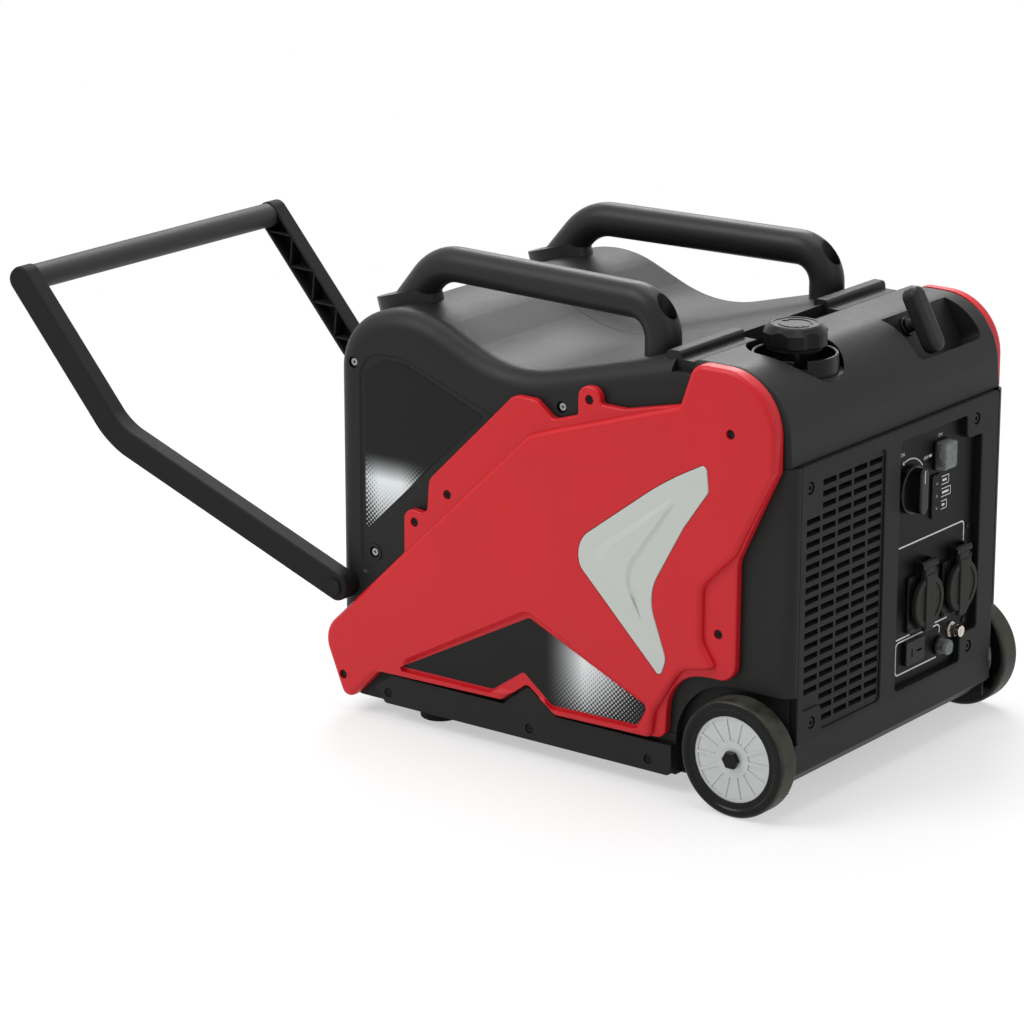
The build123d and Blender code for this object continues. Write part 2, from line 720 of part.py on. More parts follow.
with BuildPart() as left_side_cover:
    with BuildSketch(side(-COVER_BACK)):
        add(outline(COVER_FLANGE_LINE))
    extrude(amount=COVER_FLANGE - COVER_BACK)
    fillet(left_side_cover.faces().sort_by(Axis.Y)[0].edges(), 2)
    with BuildSketch(side(-COVER_BACK)):
        add(outline(COVER_BODY_LINE))
    extrude(amount=COVER_FACE - COVER_BACK)
    fillet(left_side_cover.faces().sort_by(Axis.Y)[0].edges(), SHOULDER_SOFT)
    with BuildSketch(side(-COVER_FACE)):
        add(outline(LABEL_LINE))
    extrude(amount=-LABEL_DEPTH, mode=Mode.SUBTRACT)
    # sloping upper walls of the label recess
    with BuildSketch(side(-COVER_FACE + LABEL_DEPTH)):
        add(outline(((-424, 66, 3), (-259, 155, 14), (-112, 88, 6), (-124, 70, 4))))
    extrude(amount=LABEL_DEPTH, taper=-40, mode=Mode.SUBTRACT)
    with BuildSketch(side(-COVER_FACE)):
        add(outline(ACCENT_LINE))
        offset(amount=0.6)
    extrude(amount=-ACCENT_DEPTH, mode=Mode.SUBTRACT)
    # hollow back
    with BuildSketch(side(-COVER_BACK)):
        add(outline(COVER_BODY_LINE))
        offset(amount=-6, mode=Mode.REPLACE)
        add(offset(outline(LABEL_LINE), amount=8, mode=Mode.PRIVATE), mode=Mode.SUBTRACT)
        add(offset(outline(ACCENT_LINE), amount=4, mode=Mode.PRIVATE), mode=Mode.SUBTRACT)
        with Locations(*COVER_FACE_SCREWS):
            Circle(10, mode=Mode.SUBTRACT)
    extrude(amount=COVER_FACE - COVER_BACK - WALL, mode=Mode.SUBTRACT)
    with BuildSketch(side(-COVER_FLANGE)):
        with Locations(*COVER_SCREWS):
            Circle(5)
    extrude(amount=-4, mode=Mode.SUBTRACT)
    with BuildSketch(side(-COVER_FACE)):
        with Locations(*COVER_FACE_SCREWS):
            Circle(5)
    extrude(amount=-5, mode=Mode.SUBTRACT)
save_pair(left_side_cover, "side_cover")

with BuildPart() as left_accent:
    with BuildSketch(side(-COVER_FACE + ACCENT_DEPTH)):
        add(outline(ACCENT_LINE))
    extrude(amount=ACCENT_DEPTH + 0.6)
    fillet(left_accent.faces().sort_by(Axis.Y)[0].edges(), 1.2)
    # bevelled blade along the middle
    with BuildSketch(side(-COVER_FACE)):
        add(outline(BLADE_FOOT))
    with BuildSketch(side(-COVER_FACE - BLADE_HEIGHT)):
        add(outline(BLADE_CREST))
    loft(ruled=True)
save_pair(left_accent, "accent")

# Carry handles: bent tubes that stand on the top of the case
CARRY_RUN = CARRY_FRONT_X - CARRY_FOOT[0]
CARRY_SPLAY = CARRY_FRONT_Y - CARRY_REAR_Y
CARRY_DIR = Vector(CARRY_RUN, -CARRY_SPLAY, 0).normalized()
CARRY_PLANE = Plane(
    origin=(AXLE_X + CARRY_FOOT[0], -CARRY_REAR_Y, 0),
    x_dir=CARRY_DIR,
    z_dir=(CARRY_DIR.Y, -CARRY_DIR.X, 0),
)
CARRY_LENGTH = Vector(CARRY_RUN, CARRY_SPLAY, 0).length

with BuildPart() as left_carry_handle:
    with BuildLine(CARRY_PLANE) as path:
        FilletPolyline(
            (-26 / tan(radians(CARRY_LEAN)), CARRY_FOOT[1] - 26),
            ((CARRY_AXIS_Z - CARRY_FOOT[1]) / tan(radians(CARRY_LEAN)), CARRY_AXIS_Z),
            (CARRY_LENGTH, CARRY_AXIS_Z),
            (CARRY_LENGTH, CARRY_FOOT[1] - 16),
            radius=[56, 34],
        )
    with BuildSketch(Plane(origin=path.line @ 0, z_dir=path.line % 0)):
        Circle(CARRY_R)
    sweep()
    add(case_block.part, mode=Mode.SUBTRACT)
    # access hole for the front fixing bolt
    with BuildSketch(plan(CARRY_AXIS_Z + CARRY_R)):
        with Locations((CARRY_FRONT_X + 4, -CARRY_FRONT_Y)):
            Circle(10)
    extrude(amount=-50, mode=Mode.SUBTRACT)
save_pair(left_carry_handle, "carry_handle")

with BuildPart() as left_handle_collar:
    with BuildSketch(
        Plane(
            origin=(AXLE_X + CARRY_FOOT[0] - 4, -CARRY_REAR_Y, 425),
            x_dir=(cos(radians(17)), 0, sin(radians(17))),
            z_dir=(-sin(radians(17)), 0, cos(radians(17))),
        )
    ):
        Ellipse(39, 25)
    extrude(amount=20)
    add(case_block.part, mode=Mode.SUBTRACT)
    add(left_carry_handle.part, mode=Mode.SUBTRACT)
with BuildPart() as handle_collars:
    add(left_handle_collar.part)
    mirror(left_handle_collar.part, about=Plane.XZ)
save(handle_collars, "handle_collars")

# Tow handle: two ribbed channel arms, a round grip and two pivot pins
ARM_SEGMENTS = ((TOW_PIVOT, TOW_LOWER), (TOW_BEND, TOW_UPPER))


def arm_outline(height):
    """Side view of a tow arm of the given height, round at both ends and at the bend."""
    with BuildSketch() as flat:
        for start, (length, rise) in ARM_SEGMENTS:
            middle = (
                start[0] - length / 2 * cos(radians(rise)),
                start[1] + length / 2 * sin(radians(rise)),
            )
            with Locations(Location((middle[0], middle[1], 0), (0, 0, -rise))):
                SlotCenterToCenter(length, height)
    return flat.sketch


with BuildPart() as left_tow_arm:
    with BuildSketch(side(-TOW_INNER)):
        add(arm_outline(TOW_HEIGHT))
    extrude(amount=TOW_OUTER - TOW_INNER)
    fillet(left_tow_arm.faces().sort_by(Axis.Y)[0].edges(), 3)
    with BuildSketch(side(-TOW_INNER)):
        add(arm_outline(TOW_HEIGHT - 2 * TOW_WALL))
        with Locations(TOW_PIVOT, TOW_END):
            Circle(TOW_HEIGHT / 2, mode=Mode.SUBTRACT)
    extrude(amount=TOW_OUTER - TOW_INNER - TOW_WALL, mode=Mode.SUBTRACT)
    # zigzag ribs in the channel
    with BuildSketch(side(-TOW_INNER - 1)):
        for start, (length, rise) in ARM_SEGMENTS:
            bays = round(length / 40)
            bay = length / bays
            for index in range(bays):
                along = (index + 0.5) * bay
                lean = 38 if index % 2 else -38
                middle = (start[0] - along * cos(radians(rise)), start[1] + along * sin(radians(rise)))
                with Locations(Location((middle[0], middle[1], 0), (0, 0, -rise + lean))):
                    Rectangle(42, 2.4)
        add(arm_outline(TOW_HEIGHT - TOW_WALL), mode=Mode.INTERSECT)
    extrude(amount=TOW_OUTER - TOW_INNER - TOW_WALL)
    with BuildSketch(side(-TOW_INNER + 2)):
        with Locations(TOW_PIVOT):
            Circle(TOW_PIN_R + RUN_GAP)
    extrude(amount=40, mode=Mode.SUBTRACT)
save_pair(left_tow_arm, "tow_arm")

with BuildPart() as tow_grip:
    with BuildSketch(side(TOW_INNER - 0.2)):
        with Locations(TOW_END):
            Circle(GRIP_R)
            Circle(GRIP_R - 4, mode=Mode.SUBTRACT)
    extrude(amount=2 * TOW_INNER - 0.4)
save(tow_grip, "tow_grip")

with BuildPart() as tow_pins:
    for sign in (1, -1):
        with BuildSketch(side(-sign * (CASE_HALF - 18))):
            with Locations(TOW_PIVOT):
                Circle(TOW_PIN_R)
        extrude(amount=sign * (TOW_OUTER - CASE_HALF + 18))
        with BuildSketch(side(-sign * (TOW_OUTER + 0.4))):
            with Locations(TOW_PIVOT):
                Circle(TOW_PIN_R + 4)
        extrude(amount=sign * 2)
        with BuildSketch(side(-sign * TOW_OUTER)):
            with Locations(TOW_PIVOT):
                Circle(TOW_PIN_R)
        extrude(amount=sign * 1)
save(tow_pins, "tow_pins")

# Front panel frame with two windows, louvred inlet grille and control plate
GRILLE_WINDOW = (
    (-174, 318, 4),
    (-154, 318, 8),
    (-154, 341, 4),
    (-33, 341, 5),
    (-33, 79, 5),
    (-140, 79, 4),
    (-140, 106, 8),
    (-174, 106, 4),
)
CONTROL_WINDOW = (
    (-4, 79, 6),
    (120, 79, 4),
    (120, 108, 8),
    (152, 108, 4),
    (152, 316, 4),
    (122, 316, 8),
    (122, 341, 4),
    (-4, 341, 6),
)
FRONT_SCREWS = ((-168.0, 332.0), (140.0, 334.0), (-158.0, 91.0), (137.0, 91.0))

with BuildPart() as front_panel:
    with BuildSketch(front(PLATE_X)):
        with Locations((0, (PANEL_BOTTOM + HOOD_SEAM - SEAM_GAP) / 2)):
            RectangleRounded(2 * PANEL_EDGE - 0.8, HOOD_SEAM - SEAM_GAP - PANEL_BOTTOM, 5)
        add(outline(GRILLE_WINDOW), mode=Mode.SUBTRACT)
        add(outline(CONTROL_WINDOW), mode=Mode.SUBTRACT)
    extrude(amount=CASE_FRONT - PLATE_X)
    fillet(front_panel.faces().sort_by(Axis.X)[-1].edges(), 1.5)
    with BuildSketch(front(CASE_FRONT)):
        with Locations(*FRONT_SCREWS):
            Circle(6.5)
    extrude(amount=-4, mode=Mode.SUBTRACT)
save(front_panel, "front_panel")

LOUVRE_COLUMNS = 5
LOUVRE_PITCH_Y = 27.6
LOUVRE_WIDTH = 23.6
LOUVRE_ROWS = 22
LOUVRE_PITCH_Z = 11.5
LOUVRE_GAP = 6.0
with BuildPart() as inlet_grille:
    with BuildSketch(front(PLATE_X - 3)):
        add(outline(GRILLE_WINDOW))
        offset(amount=5)
    extrude(amount=2.8)
    with BuildSketch(front(PLATE_X - 3)):
        add(outline(GRILLE_WINDOW))
        offset(amount=-0.4, mode=Mode.REPLACE)
    extrude(amount=CASE_FRONT - PLATE_X + 1)
    with BuildSketch(front(CASE_FRONT)):
        for column in range(LOUVRE_COLUMNS):
            for row in range(LOUVRE_ROWS):
                spot = (
                    -103.5 + (column - (LOUVRE_COLUMNS - 1) / 2) * LOUVRE_PITCH_Y,
                    210 + (row - (LOUVRE_ROWS - 1) / 2) * LOUVRE_PITCH_Z,
                )
                at_notch = column == 0 and (row < 3 or row > LOUVRE_ROWS - 4)
                if not at_notch:
                    with Locations(spot):
                        Rectangle(LOUVRE_WIDTH, LOUVRE_GAP)
    extrude(amount=-24, dir=(1, 0, -0.35), mode=Mode.SUBTRACT)
save(inlet_grille, "inlet_grille")

SOCKET_CASE_R = 24.0
with BuildPart() as control_plate:
    with BuildSketch(front(PLATE_X - WALL)):
        with Locations((74, 210)):
            RectangleRounded(172, 270, 6)
        with Locations(*SOCKETS):
            Circle(SOCKET_CASE_R + 0.1, mode=Mode.SUBTRACT)
        with Locations(SWITCH):
            Circle(4 + RUN_GAP, mode=Mode.SUBTRACT)
        with Locations(ECO):
            Rectangle(20, 24, mode=Mode.SUBTRACT)
        with Locations(BREAKER):
            Circle(6.6, mode=Mode.SUBTRACT)
        with Locations(EARTH):
            Circle(3.1, mode=Mode.SUBTRACT)
    extrude(amount=WALL)
save(control_plate, "control_plate")

# Controls
with BuildPart() as engine_switch:
    with BuildSketch(front(PLATE_X + 0.8)):
        with Locations(SWITCH):
            Circle(25)
    extrude(amount=7)
    fillet(engine_switch.edges().group_by(Axis.X)[-1], 1.5)
    with BuildSketch(front(PLATE_X + 7.8)):
        with Locations(SWITCH):
            SlotOverall(47, 15, rotation=90)
    extrude(amount=11)
    fillet(engine_switch.edges().group_by(Axis.X)[-1], 2)
    with BuildSketch(front(PLATE_X + 18.8)):
        with Locations((SWITCH[0], SWITCH[1] + 15)):
            Rectangle(1.8, 14)
    extrude(amount=-1, mode=Mode.SUBTRACT)
    with BuildSketch(front(PLATE_X + 0.8)):
        with Locations(SWITCH):
            Circle(4)
    extrude(amount=-20)
save(engine_switch, "engine_switch")

ECO_TILT = 9.0
ECO_PIN_R = 1.5
ECO_PIVOT_X = PLATE_X + 1.75
with BuildPart() as switch_bezels:
    with BuildSketch(front(PLATE_X)):
        with Locations(ECO):
            RectangleRounded(26, 30, 3)
            Rectangle(19.6, 23.6, mode=Mode.SUBTRACT)
        with Locations(BREAKER):
            Circle(10)
            Circle(6.6, mode=Mode.SUBTRACT)
    extrude(amount=3.5)
    rims = [f.outer_wire().edges() for f in switch_bezels.faces().group_by(Axis.X)[-1]]
    fillet(rims[0] + rims[1], 1)
    # pin that the rocker turns on
    with BuildSketch(side(ECO[0] + 10.5)):
        with Locations((ECO_PIVOT_X, ECO[1])):
            Circle(ECO_PIN_R)
    extrude(amount=21)
save(switch_bezels, "switch_bezels")

with BuildPart() as eco_rocker:
    with BuildSketch(
        Plane(
            origin=(AXLE_X + ECO_PIVOT_X, ECO[0], ECO[1]),
            x_dir=(cos(radians(ECO_TILT)), 0, sin(radians(ECO_TILT))),
            z_dir=(0, -1, 0),
        )
    ):
        add(outline(((-6, -6, 2), (-6, 6, 2), (2, 10, 1), (7, 9.5, 1.5), (4, 0, 8), (7, -9.5, 1.5), (2, -10, 1))))
        Circle(ECO_PIN_R + RUN_GAP, mode=Mode.SUBTRACT)
    extrude(amount=9.2, both=True)
save(eco_rocker, "eco_rocker")

with BuildPart() as status_display:
    with BuildSketch(front(PLATE_X)):
        with Locations(DISPLAY):
            RectangleRounded(18, 46, 3)
    extrude(amount=2.5)
    fillet(status_display.faces().sort_by(Axis.X)[-1].edges(), 0.8)
    with BuildSketch(front(PLATE_X + 2.5)):
        with Locations(DISPLAY):
            with GridLocations(1, 13, 1, 3):
                Circle(2.2)
    extrude(amount=-0.8, mode=Mode.SUBTRACT)
save(status_display, "status_display")

LID_R = 27.0
LID_HINGE = 39.0
LID_BACK = PLATE_X + 7.5
for number, spot in enumerate(SOCKETS, start=1):
    hinge = (LID_BACK + 1, spot[1] + LID_HINGE)
    with BuildPart() as ac_socket:
        with BuildSketch(front(PLATE_X)):
            with Locations(spot):
                RectangleRounded(57, 60, 5)
        extrude(amount=4)
        fillet(ac_socket.faces().sort_by(Axis.X)[-1].edges(), 1)
        with BuildSketch(front(PLATE_X)):
            with Locations(spot):
                Circle(SOCKET_CASE_R)
        extrude(amount=-36)
        with BuildSketch(front(PLATE_X)):
            with Locations(spot):
                Circle(SOCKET_CASE_R)
        extrude(amount=7)
        # ears and pin of the lid hinge
        for ear in (-12, 12):
            with BuildSketch(side(spot[0] + ear + 2)):
                with Locations(hinge):
                    Circle(4)
                with Locations((PLATE_X + 2.5, hinge[1] - 5)):
                    Rectangle(5, 18)
            extrude(amount=4)
        with BuildSketch(side(spot[0] + 12)):
            with Locations(hinge):
                Circle(2)
        extrude(amount=24)
        with BuildSketch(front(PLATE_X + 7)):
            with Locations(spot):
                Circle(19.6)
        extrude(amount=-18, mode=Mode.SUBTRACT)
        with BuildSketch(front(PLATE_X)):
            with Locations((spot[0] - 9.5, spot[1]), (spot[0] + 9.5, spot[1])):
                Circle(2.6)
        extrude(amount=-34, mode=Mode.SUBTRACT)
    save(ac_socket, f"ac_socket_{number}")
    with BuildPart() as socket_lid:
        with BuildSketch(front(LID_BACK)):
            with Locations(spot):
                Circle(LID_R)
            with Locations((spot[0], spot[1] + LID_R)):
                Rectangle(19, 20)
            with Locations((spot[0], spot[1] - LID_R)):
                RectangleRounded(16, 9, 3)
        extrude(amount=5)
        fillet(socket_lid.faces().sort_by(Axis.X)[-1].edges(), 1.6)
        with BuildSketch(side(spot[0] + 9.5)):
            with Locations(hinge):
                Circle(4)
        extrude(amount=19)
        with BuildSketch(side(spot[0] + 30)):
            with Locations(hinge):
                Circle(2 + RUN_GAP)
        extrude(amount=60, mode=Mode.SUBTRACT)
        with BuildSketch(front(LID_BACK + 5)):
            with Locations(spot):
                Circle(LID_R - 6)
        extrude(amount=-1, mode=Mode.SUBTRACT)
    save(socket_lid, f"socket_lid_{number}")

with BuildPart() as dc_socket:
    with BuildSketch(front(PLATE_X)):
        with Locations(DC_SOCKET):
            RectangleRounded(36, 26, 4)
    extrude(amount=5)
    fillet(dc_socket.faces().sort_by(Axis.X)[-1].edges(), 1.2)
    with BuildSketch(front(PLATE_X + 5)):
        with Locations((DC_SOCKET[0] - 7, DC_SOCKET[1])):
            Rectangle(2.2, 9)
        with Locations((DC_SOCKET[0] + 7, DC_SOCKET[1])):
            Rectangle(9, 2.2)
    extrude(amount=-4, mode=Mode.SUBTRACT)
save(dc_socket, "dc_socket")

with BuildPart() as breaker_button:
    with BuildSketch(front(PLATE_X - 1)):
        with Locations(BREAKER):
            Circle(6)
    extrude(amount=11)
    fillet(breaker_button.edges().group_by(Axis.X)[-1], 1.5)
save(breaker_button, "breaker_button")

with BuildPart() as earth_terminal:
    with BuildSketch(front(PLATE_X - 10)):
        with Locations(EARTH):
            Circle(3)
    extrude(amount=24)
    with BuildSketch(front(PLATE_X)):
        with Locations(EARTH):
            Circle(8)
    extrude(amount=1.5)
    with BuildSketch(front(PLATE_X + 1.5)):
        with Locations(EARTH):
            RegularPolygon(6.5, 6)
    extrude(amount=6)
save(earth_terminal, "earth_terminal")

# Rear exhaust cover
with BuildPart() as rear_cover:
    with BuildSketch(front(CASE_REAR - 3.4)):
        with Locations((0, 220)):
            RectangleRounded(236, 206, 12)
            with GridLocations(66, 12, 3, 12):
                SlotOverall(58, 5, mode=Mode.SUBTRACT)
        with Locations((-66, 150)):
            Circle(21)
            Circle(13, mode=Mode.SUBTRACT)
    extrude(amount=3)
    fillet(rear_cover.faces().sort_by(Axis.X)[0].outer_wire().edges(), 1.5)
save(rear_cover, "rear_cover")

# Power unit inside the case
with BuildPart() as crankcase:
    with BuildSketch(side(20)):
        add(outline(((-296, 60, 6), (-296, 282, 20), (-160, 282, 20), (-160, 60, 6))))
    extrude(amount=115)
    with BuildSketch(side(30)):
        with Locations(CRANK):
            Circle(20)
    extrude(amount=140, mode=Mode.SUBTRACT)
save(crankcase, "crankcase")

BARREL_RISE = 25.0
BARREL_PLANE = Plane(
    origin=(AXLE_X + CRANK[0], -37.5, CRANK[1]),
    x_dir=(0, 1, 0),
    z_dir=(-cos(radians(BARREL_RISE)), 0, sin(radians(BARREL_RISE))),
)
with BuildPart() as cylinder:
    with BuildSketch(BARREL_PLANE.offset(84)):
        Circle(34)
    extrude(amount=84)
    for fin in range(7):
        with BuildSketch(BARREL_PLANE.offset(96 + 10 * fin)):
            RectangleRounded(100, 92, 14)
        extrude(amount=3)
    with BuildSketch(side(40)):
        add(outline(((-296, 60, 6), (-296, 282, 20), (-160, 282, 20), (-160, 60, 6))))
    extrude(amount=150, mode=Mode.SUBTRACT)
save(cylinder, "cylinder")

with BuildPart() as cylinder_cover:
    with BuildSketch(BARREL_PLANE.offset(168)):
        RectangleRounded(84, 76, 12)
    extrude(amount=24)
    fillet(cylinder_cover.faces().sort_by(Axis.X)[0].edges(), 5)
save(cylinder_cover, "cylinder_cover")

with BuildPart() as rotor:
    with BuildSketch(side(74)):
        with Locations(CRANK):
            Circle(75)
    extrude(amount=46)
    with BuildSketch(side(66)):
        with Locations(CRANK):
            Circle(64)
    extrude(amount=46, mode=Mode.SUBTRACT)
    with BuildSketch(side(74)):
        with Locations(CRANK):
            Circle(12)
    extrude(amount=150)
    # fan blades on the outer face
    with BuildSketch(side(78)):
        with Locations(CRANK):
            with PolarLocations(50, 16):
                Rectangle(30, 2.5)
    extrude(amount=5)
save(rotor, "rotor")

with BuildPart() as stator:
    with BuildSketch(side(60)):
        with Locations(CRANK):
            Circle(61)
            Circle(20, mode=Mode.SUBTRACT)
            with PolarLocations(50, 18):
                Rectangle(18, 4, mode=Mode.SUBTRACT)
    extrude(amount=30)
    with BuildSketch(side(30)):
        with Locations(CRANK):
            Circle(30)
            Circle(20, mode=Mode.SUBTRACT)
    extrude(amount=10)
save(stator, "stator")

with BuildPart() as muffler:
    with BuildSketch(plan(96)):
        with Locations((-452, -20)):
            RectangleRounded(84, 190, 26)
    extrude(amount=150)
    fillet(muffler.faces().filter_by(Axis.Z).edges(), 8)
    with BuildSketch(front(CASE_REAR + 2)):
        with Locations((-66, 150)):
            Circle(11)
    extrude(amount=30)
    with BuildSketch(plan(BASE_Z + WALL)):
        with Locations((-452, -70), (-452, 30)):
            Rectangle(30, 20)
    extrude(amount=80)
save(muffler, "muffler")

with BuildPart() as air_filter_box:
    with BuildSketch(plan(270)):
        with Locations((-395, 118)):
            RectangleRounded(110, 110, 14)
    extrude(amount=105)
    fillet(air_filter_box.faces().filter_by(Axis.Z).edges(), 6)
save(air_filter_box, "air_filter_box")

with BuildPart() as carburettor:
    with BuildSketch(side(63)):
        with Locations((-375, 318)):
            Circle(16)
    extrude(amount=50)
    with BuildSketch(side(46)):
        with Locations((-375, 312)):
            RectangleRounded(36, 50, 6)
    extrude(amount=24)
    add(cylinder.part, mode=Mode.SUBTRACT)
    add(cylinder_cover.part, mode=Mode.SUBTRACT)
save(carburettor, "carburettor")

with BuildPart() as inverter_module:
    with BuildSketch(plan(78)):
        with Locations((-30, -75)):
            Rectangle(26, 130)
    extrude(amount=200)
    with BuildSketch(plan(78)):
        with Locations((0, -75)):
            with GridLocations(1, 10, 1, 13):
                Rectangle(36, 2.5)
    extrude(amount=200)
    with BuildSketch(plan(BASE_Z + WALL)):
        with Locations((-30, -130), (-30, -20)):
            Rectangle(20, 16)
    extrude(amount=60)
save(inverter_module, "inverter_module")

with BuildPart() as engine_mounts:
    with BuildSketch(plan(BASE_Z + WALL)):
        with Locations((-228, -37)):
            with GridLocations(100, 80, 2, 2):
                Circle(16)
    extrude(amount=60 - BASE_Z - WALL)
save(engine_mounts, "engine_mounts")


# Screws, grouped by kind
with BuildPart() as case_screws:
    for sign in (1, -1):
        for spot in CASE_SCREWS:
            with BuildSketch(side(-sign * (CASE_HALF - SCREW_POCKET_DEPTH))):
                with Locations(spot):
                    Circle(3.8)
            extrude(amount=sign * 2.6)
save(case_screws, "case_screws")

with BuildPart() as cover_screws:
    for sign in (1, -1):
        for face, spots in ((COVER_FLANGE - 4, COVER_SCREWS), (COVER_FACE - 5, COVER_FACE_SCREWS)):
            for spot in spots:
                with BuildSketch(side(-sign * face)):
                    with Locations(spot):
                        Circle(4)
                extrude(amount=sign * 2.6)
        for spot in ((-445, 30), (-261, 30), (-113, 30)):
            with BuildSketch(side(-sign * (RAIL_FACE - 3))):
                with Locations(spot):
                    Circle(4)
            extrude(amount=sign * 2)
save(cover_screws, "cover_screws")

with BuildPart() as front_screws:
    with BuildSketch(front(CASE_FRONT - 4)):
        with Locations(*FRONT_SCREWS):
            Circle(4.8)
            RegularPolygon(2.4, 6, mode=Mode.SUBTRACT)
    extrude(amount=3)
    with BuildSketch(front(CASE_FRONT - 4)):
        with Locations(*FRONT_SCREWS):
            Circle(4.8)
    extrude(amount=1.4)
save(front_screws, "front_screws")
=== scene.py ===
"""Looks of a portable inverter generator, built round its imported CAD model."""

import logging
import math
from dataclasses import dataclass
from enum import Enum
from typing import Any, ClassVar, Sequence

import bmesh
import bpy
from bmesh.types import BMEdge, BMesh, BMFace, BMVert
from bpy.types import Material, Object, World
from mathutils import Matrix, Vector

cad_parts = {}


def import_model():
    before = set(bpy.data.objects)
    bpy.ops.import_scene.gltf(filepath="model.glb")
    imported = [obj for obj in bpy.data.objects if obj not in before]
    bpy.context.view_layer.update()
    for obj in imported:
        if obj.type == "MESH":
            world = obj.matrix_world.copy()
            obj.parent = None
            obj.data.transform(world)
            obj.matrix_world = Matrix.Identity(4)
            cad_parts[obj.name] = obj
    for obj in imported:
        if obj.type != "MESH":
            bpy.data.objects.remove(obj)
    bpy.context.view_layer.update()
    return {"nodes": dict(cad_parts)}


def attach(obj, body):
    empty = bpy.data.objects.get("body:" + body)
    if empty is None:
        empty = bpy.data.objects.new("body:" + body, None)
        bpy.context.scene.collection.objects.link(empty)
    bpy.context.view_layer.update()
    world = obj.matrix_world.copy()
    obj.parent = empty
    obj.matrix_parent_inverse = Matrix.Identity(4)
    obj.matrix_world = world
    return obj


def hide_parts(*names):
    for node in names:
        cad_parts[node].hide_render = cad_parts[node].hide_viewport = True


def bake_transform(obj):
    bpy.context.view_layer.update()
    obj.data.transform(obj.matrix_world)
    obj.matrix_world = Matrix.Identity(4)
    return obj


Colour = tuple[float, float, float]
Spot = tuple[float, float]
Pair = tuple[float, float]

LOG = logging.getLogger("generator")
HOUSING = "housing"
MM = 0.001
PER_METRE = 1000.0
AXLE_X = 0.450167
AXLE_Z = 0.060
# play, in millimetres, when points are picked by their place
SLACK = 0.1
# share of a face's normal that has to point backwards for the face to be a back
BACKWARD = -0.9
DIAGONAL = 0.7071
WHITE = (1.0, 1.0, 1.0, 1.0)
# unevenness of every finish: cells in a metre, and how far roughness drifts with it
FINE_CELLS = 160.0
FINE_DRIFT = 0.1
BROAD_DRIFT = 0.12
# least difference between the two tones of a dark finish
LEAST_LIFT = 0.0006
COAT_ROUGHNESS = 0.15
GRAIN_OCTAVES = 2.0


def place(x: float, y: float, z: float) -> Vector:
    """Point of the frame, from millimetres ahead of the axle, off the middle plane and above the floor."""
    return Vector((AXLE_X + x * MM, y * MM, z * MM))


def ink(code: str) -> Colour:
    """Linear red, green and blue of a six-digit sRGB code."""
    values = [int(code[i:i + 2], 16) / 255 for i in (0, 2, 4)]
    return tuple(v / 12.92 if v <= 0.04045 else ((v + 0.055) / 1.055) ** 2.4 for v in values)


def ray(angle: float) -> Vector:
    """Unit vector at an angle in degrees."""
    return Vector((math.cos(math.radians(angle)), math.sin(math.radians(angle))))


def both(name: str) -> tuple[str, str]:
    """Names of a left-hand node and its mirror image."""
    return f"left_{name}", f"right_{name}"


class View(Enum):
    """Faces of the machine that a flat outline can be drawn on."""

    LEFT = "left"
    FRONT = "front"
    TOP = "top"

    def point(self, u: float, v: float, level: float) -> Vector:
        """Places a point of an outline.

        Args:
            u: first coordinate, x on the left side and on top, y on the front.
            v: second coordinate, z on the left side and the front, y on top.
            level: distance of the face out from the axle, the middle plane or the floor.

        Returns:
            The point in the frame.
        """
        if self is View.LEFT:
            return place(u, -level, v)
        if self is View.FRONT:
            return place(level, u, v)
        return place(u, v, level)

    @property
    def out(self) -> Vector:
        """Direction out of the face."""
        return Vector({View.LEFT: (0, -1, 0), View.FRONT: (1, 0, 0), View.TOP: (0, 0, 1)}[self])

    @property
    def turn(self) -> Matrix:
        """Rotation that takes a drawing in x and y onto the face, with z pointing out."""
        across = Vector((0, 1, 0)) if self is View.FRONT else Vector((1, 0, 0))
        return Matrix((across, self.out.cross(across), self.out)).transposed().to_4x4()

    def seat(self, spot: Sequence[float], level: float) -> Matrix:
        """Matrix that sets a shape down at a spot of the face."""
        return Matrix.Translation(self.point(*spot, level)) @ self.turn


class Along(Enum):
    """Direction in which a halftone print fades."""

    LENGTH = "length"
    HEIGHT = "height"


class Rounding(Enum):
    """What a rounding works on."""

    EDGES = "EDGES"
    CORNERS = "VERTICES"


class Wire:
    """A shader socket with arithmetic, so that masks read as expressions."""

    def __init__(self, graph: "Graph", socket: Any) -> None:
        """Keeps the graph and the output socket."""
        self.graph = graph
        self.socket = socket

    def _math(self, operation: str, *values: Any) -> "Wire":
        """Output of a new Math node with the given operation and inputs."""
        return self.graph.node("ShaderNodeMath", {"operation": operation}, dict(enumerate(values)))

    def __add__(self, other: Any) -> "Wire":
        """Sum."""
        return self._math("ADD", self, other)

    def __sub__(self, other: Any) -> "Wire":
        """Difference."""
        return self._math("SUBTRACT", self, other)

    def __rsub__(self, other: Any) -> "Wire":
        """Reflected difference."""
        return self._math("SUBTRACT", other, self)

    def __mul__(self, other: Any) -> "Wire":
        """Product."""
        return self._math("MULTIPLY", self, other)

    def __abs__(self) -> "Wire":
        """Size without its sign."""
        return self._math("ABSOLUTE", self)

    def cell(self) -> "Wire":
        """Part after the decimal point."""
        return self._math("FRACT", self)

    def root(self) -> "Wire":
        """Square root."""
        return self._math("SQRT", self)

    def clamp(self) -> "Wire":
        """Limits the value to the span from 0 to 1."""
        return self._math("MINIMUM", self._math("MAXIMUM", self, 0.0), 1.0)

    def ramp(self, start: float, stop: float) -> "Wire":
        """Straight rise from 0 at start to 1 at stop."""
        return ((self - start) * (1 / (stop - start))).clamp()


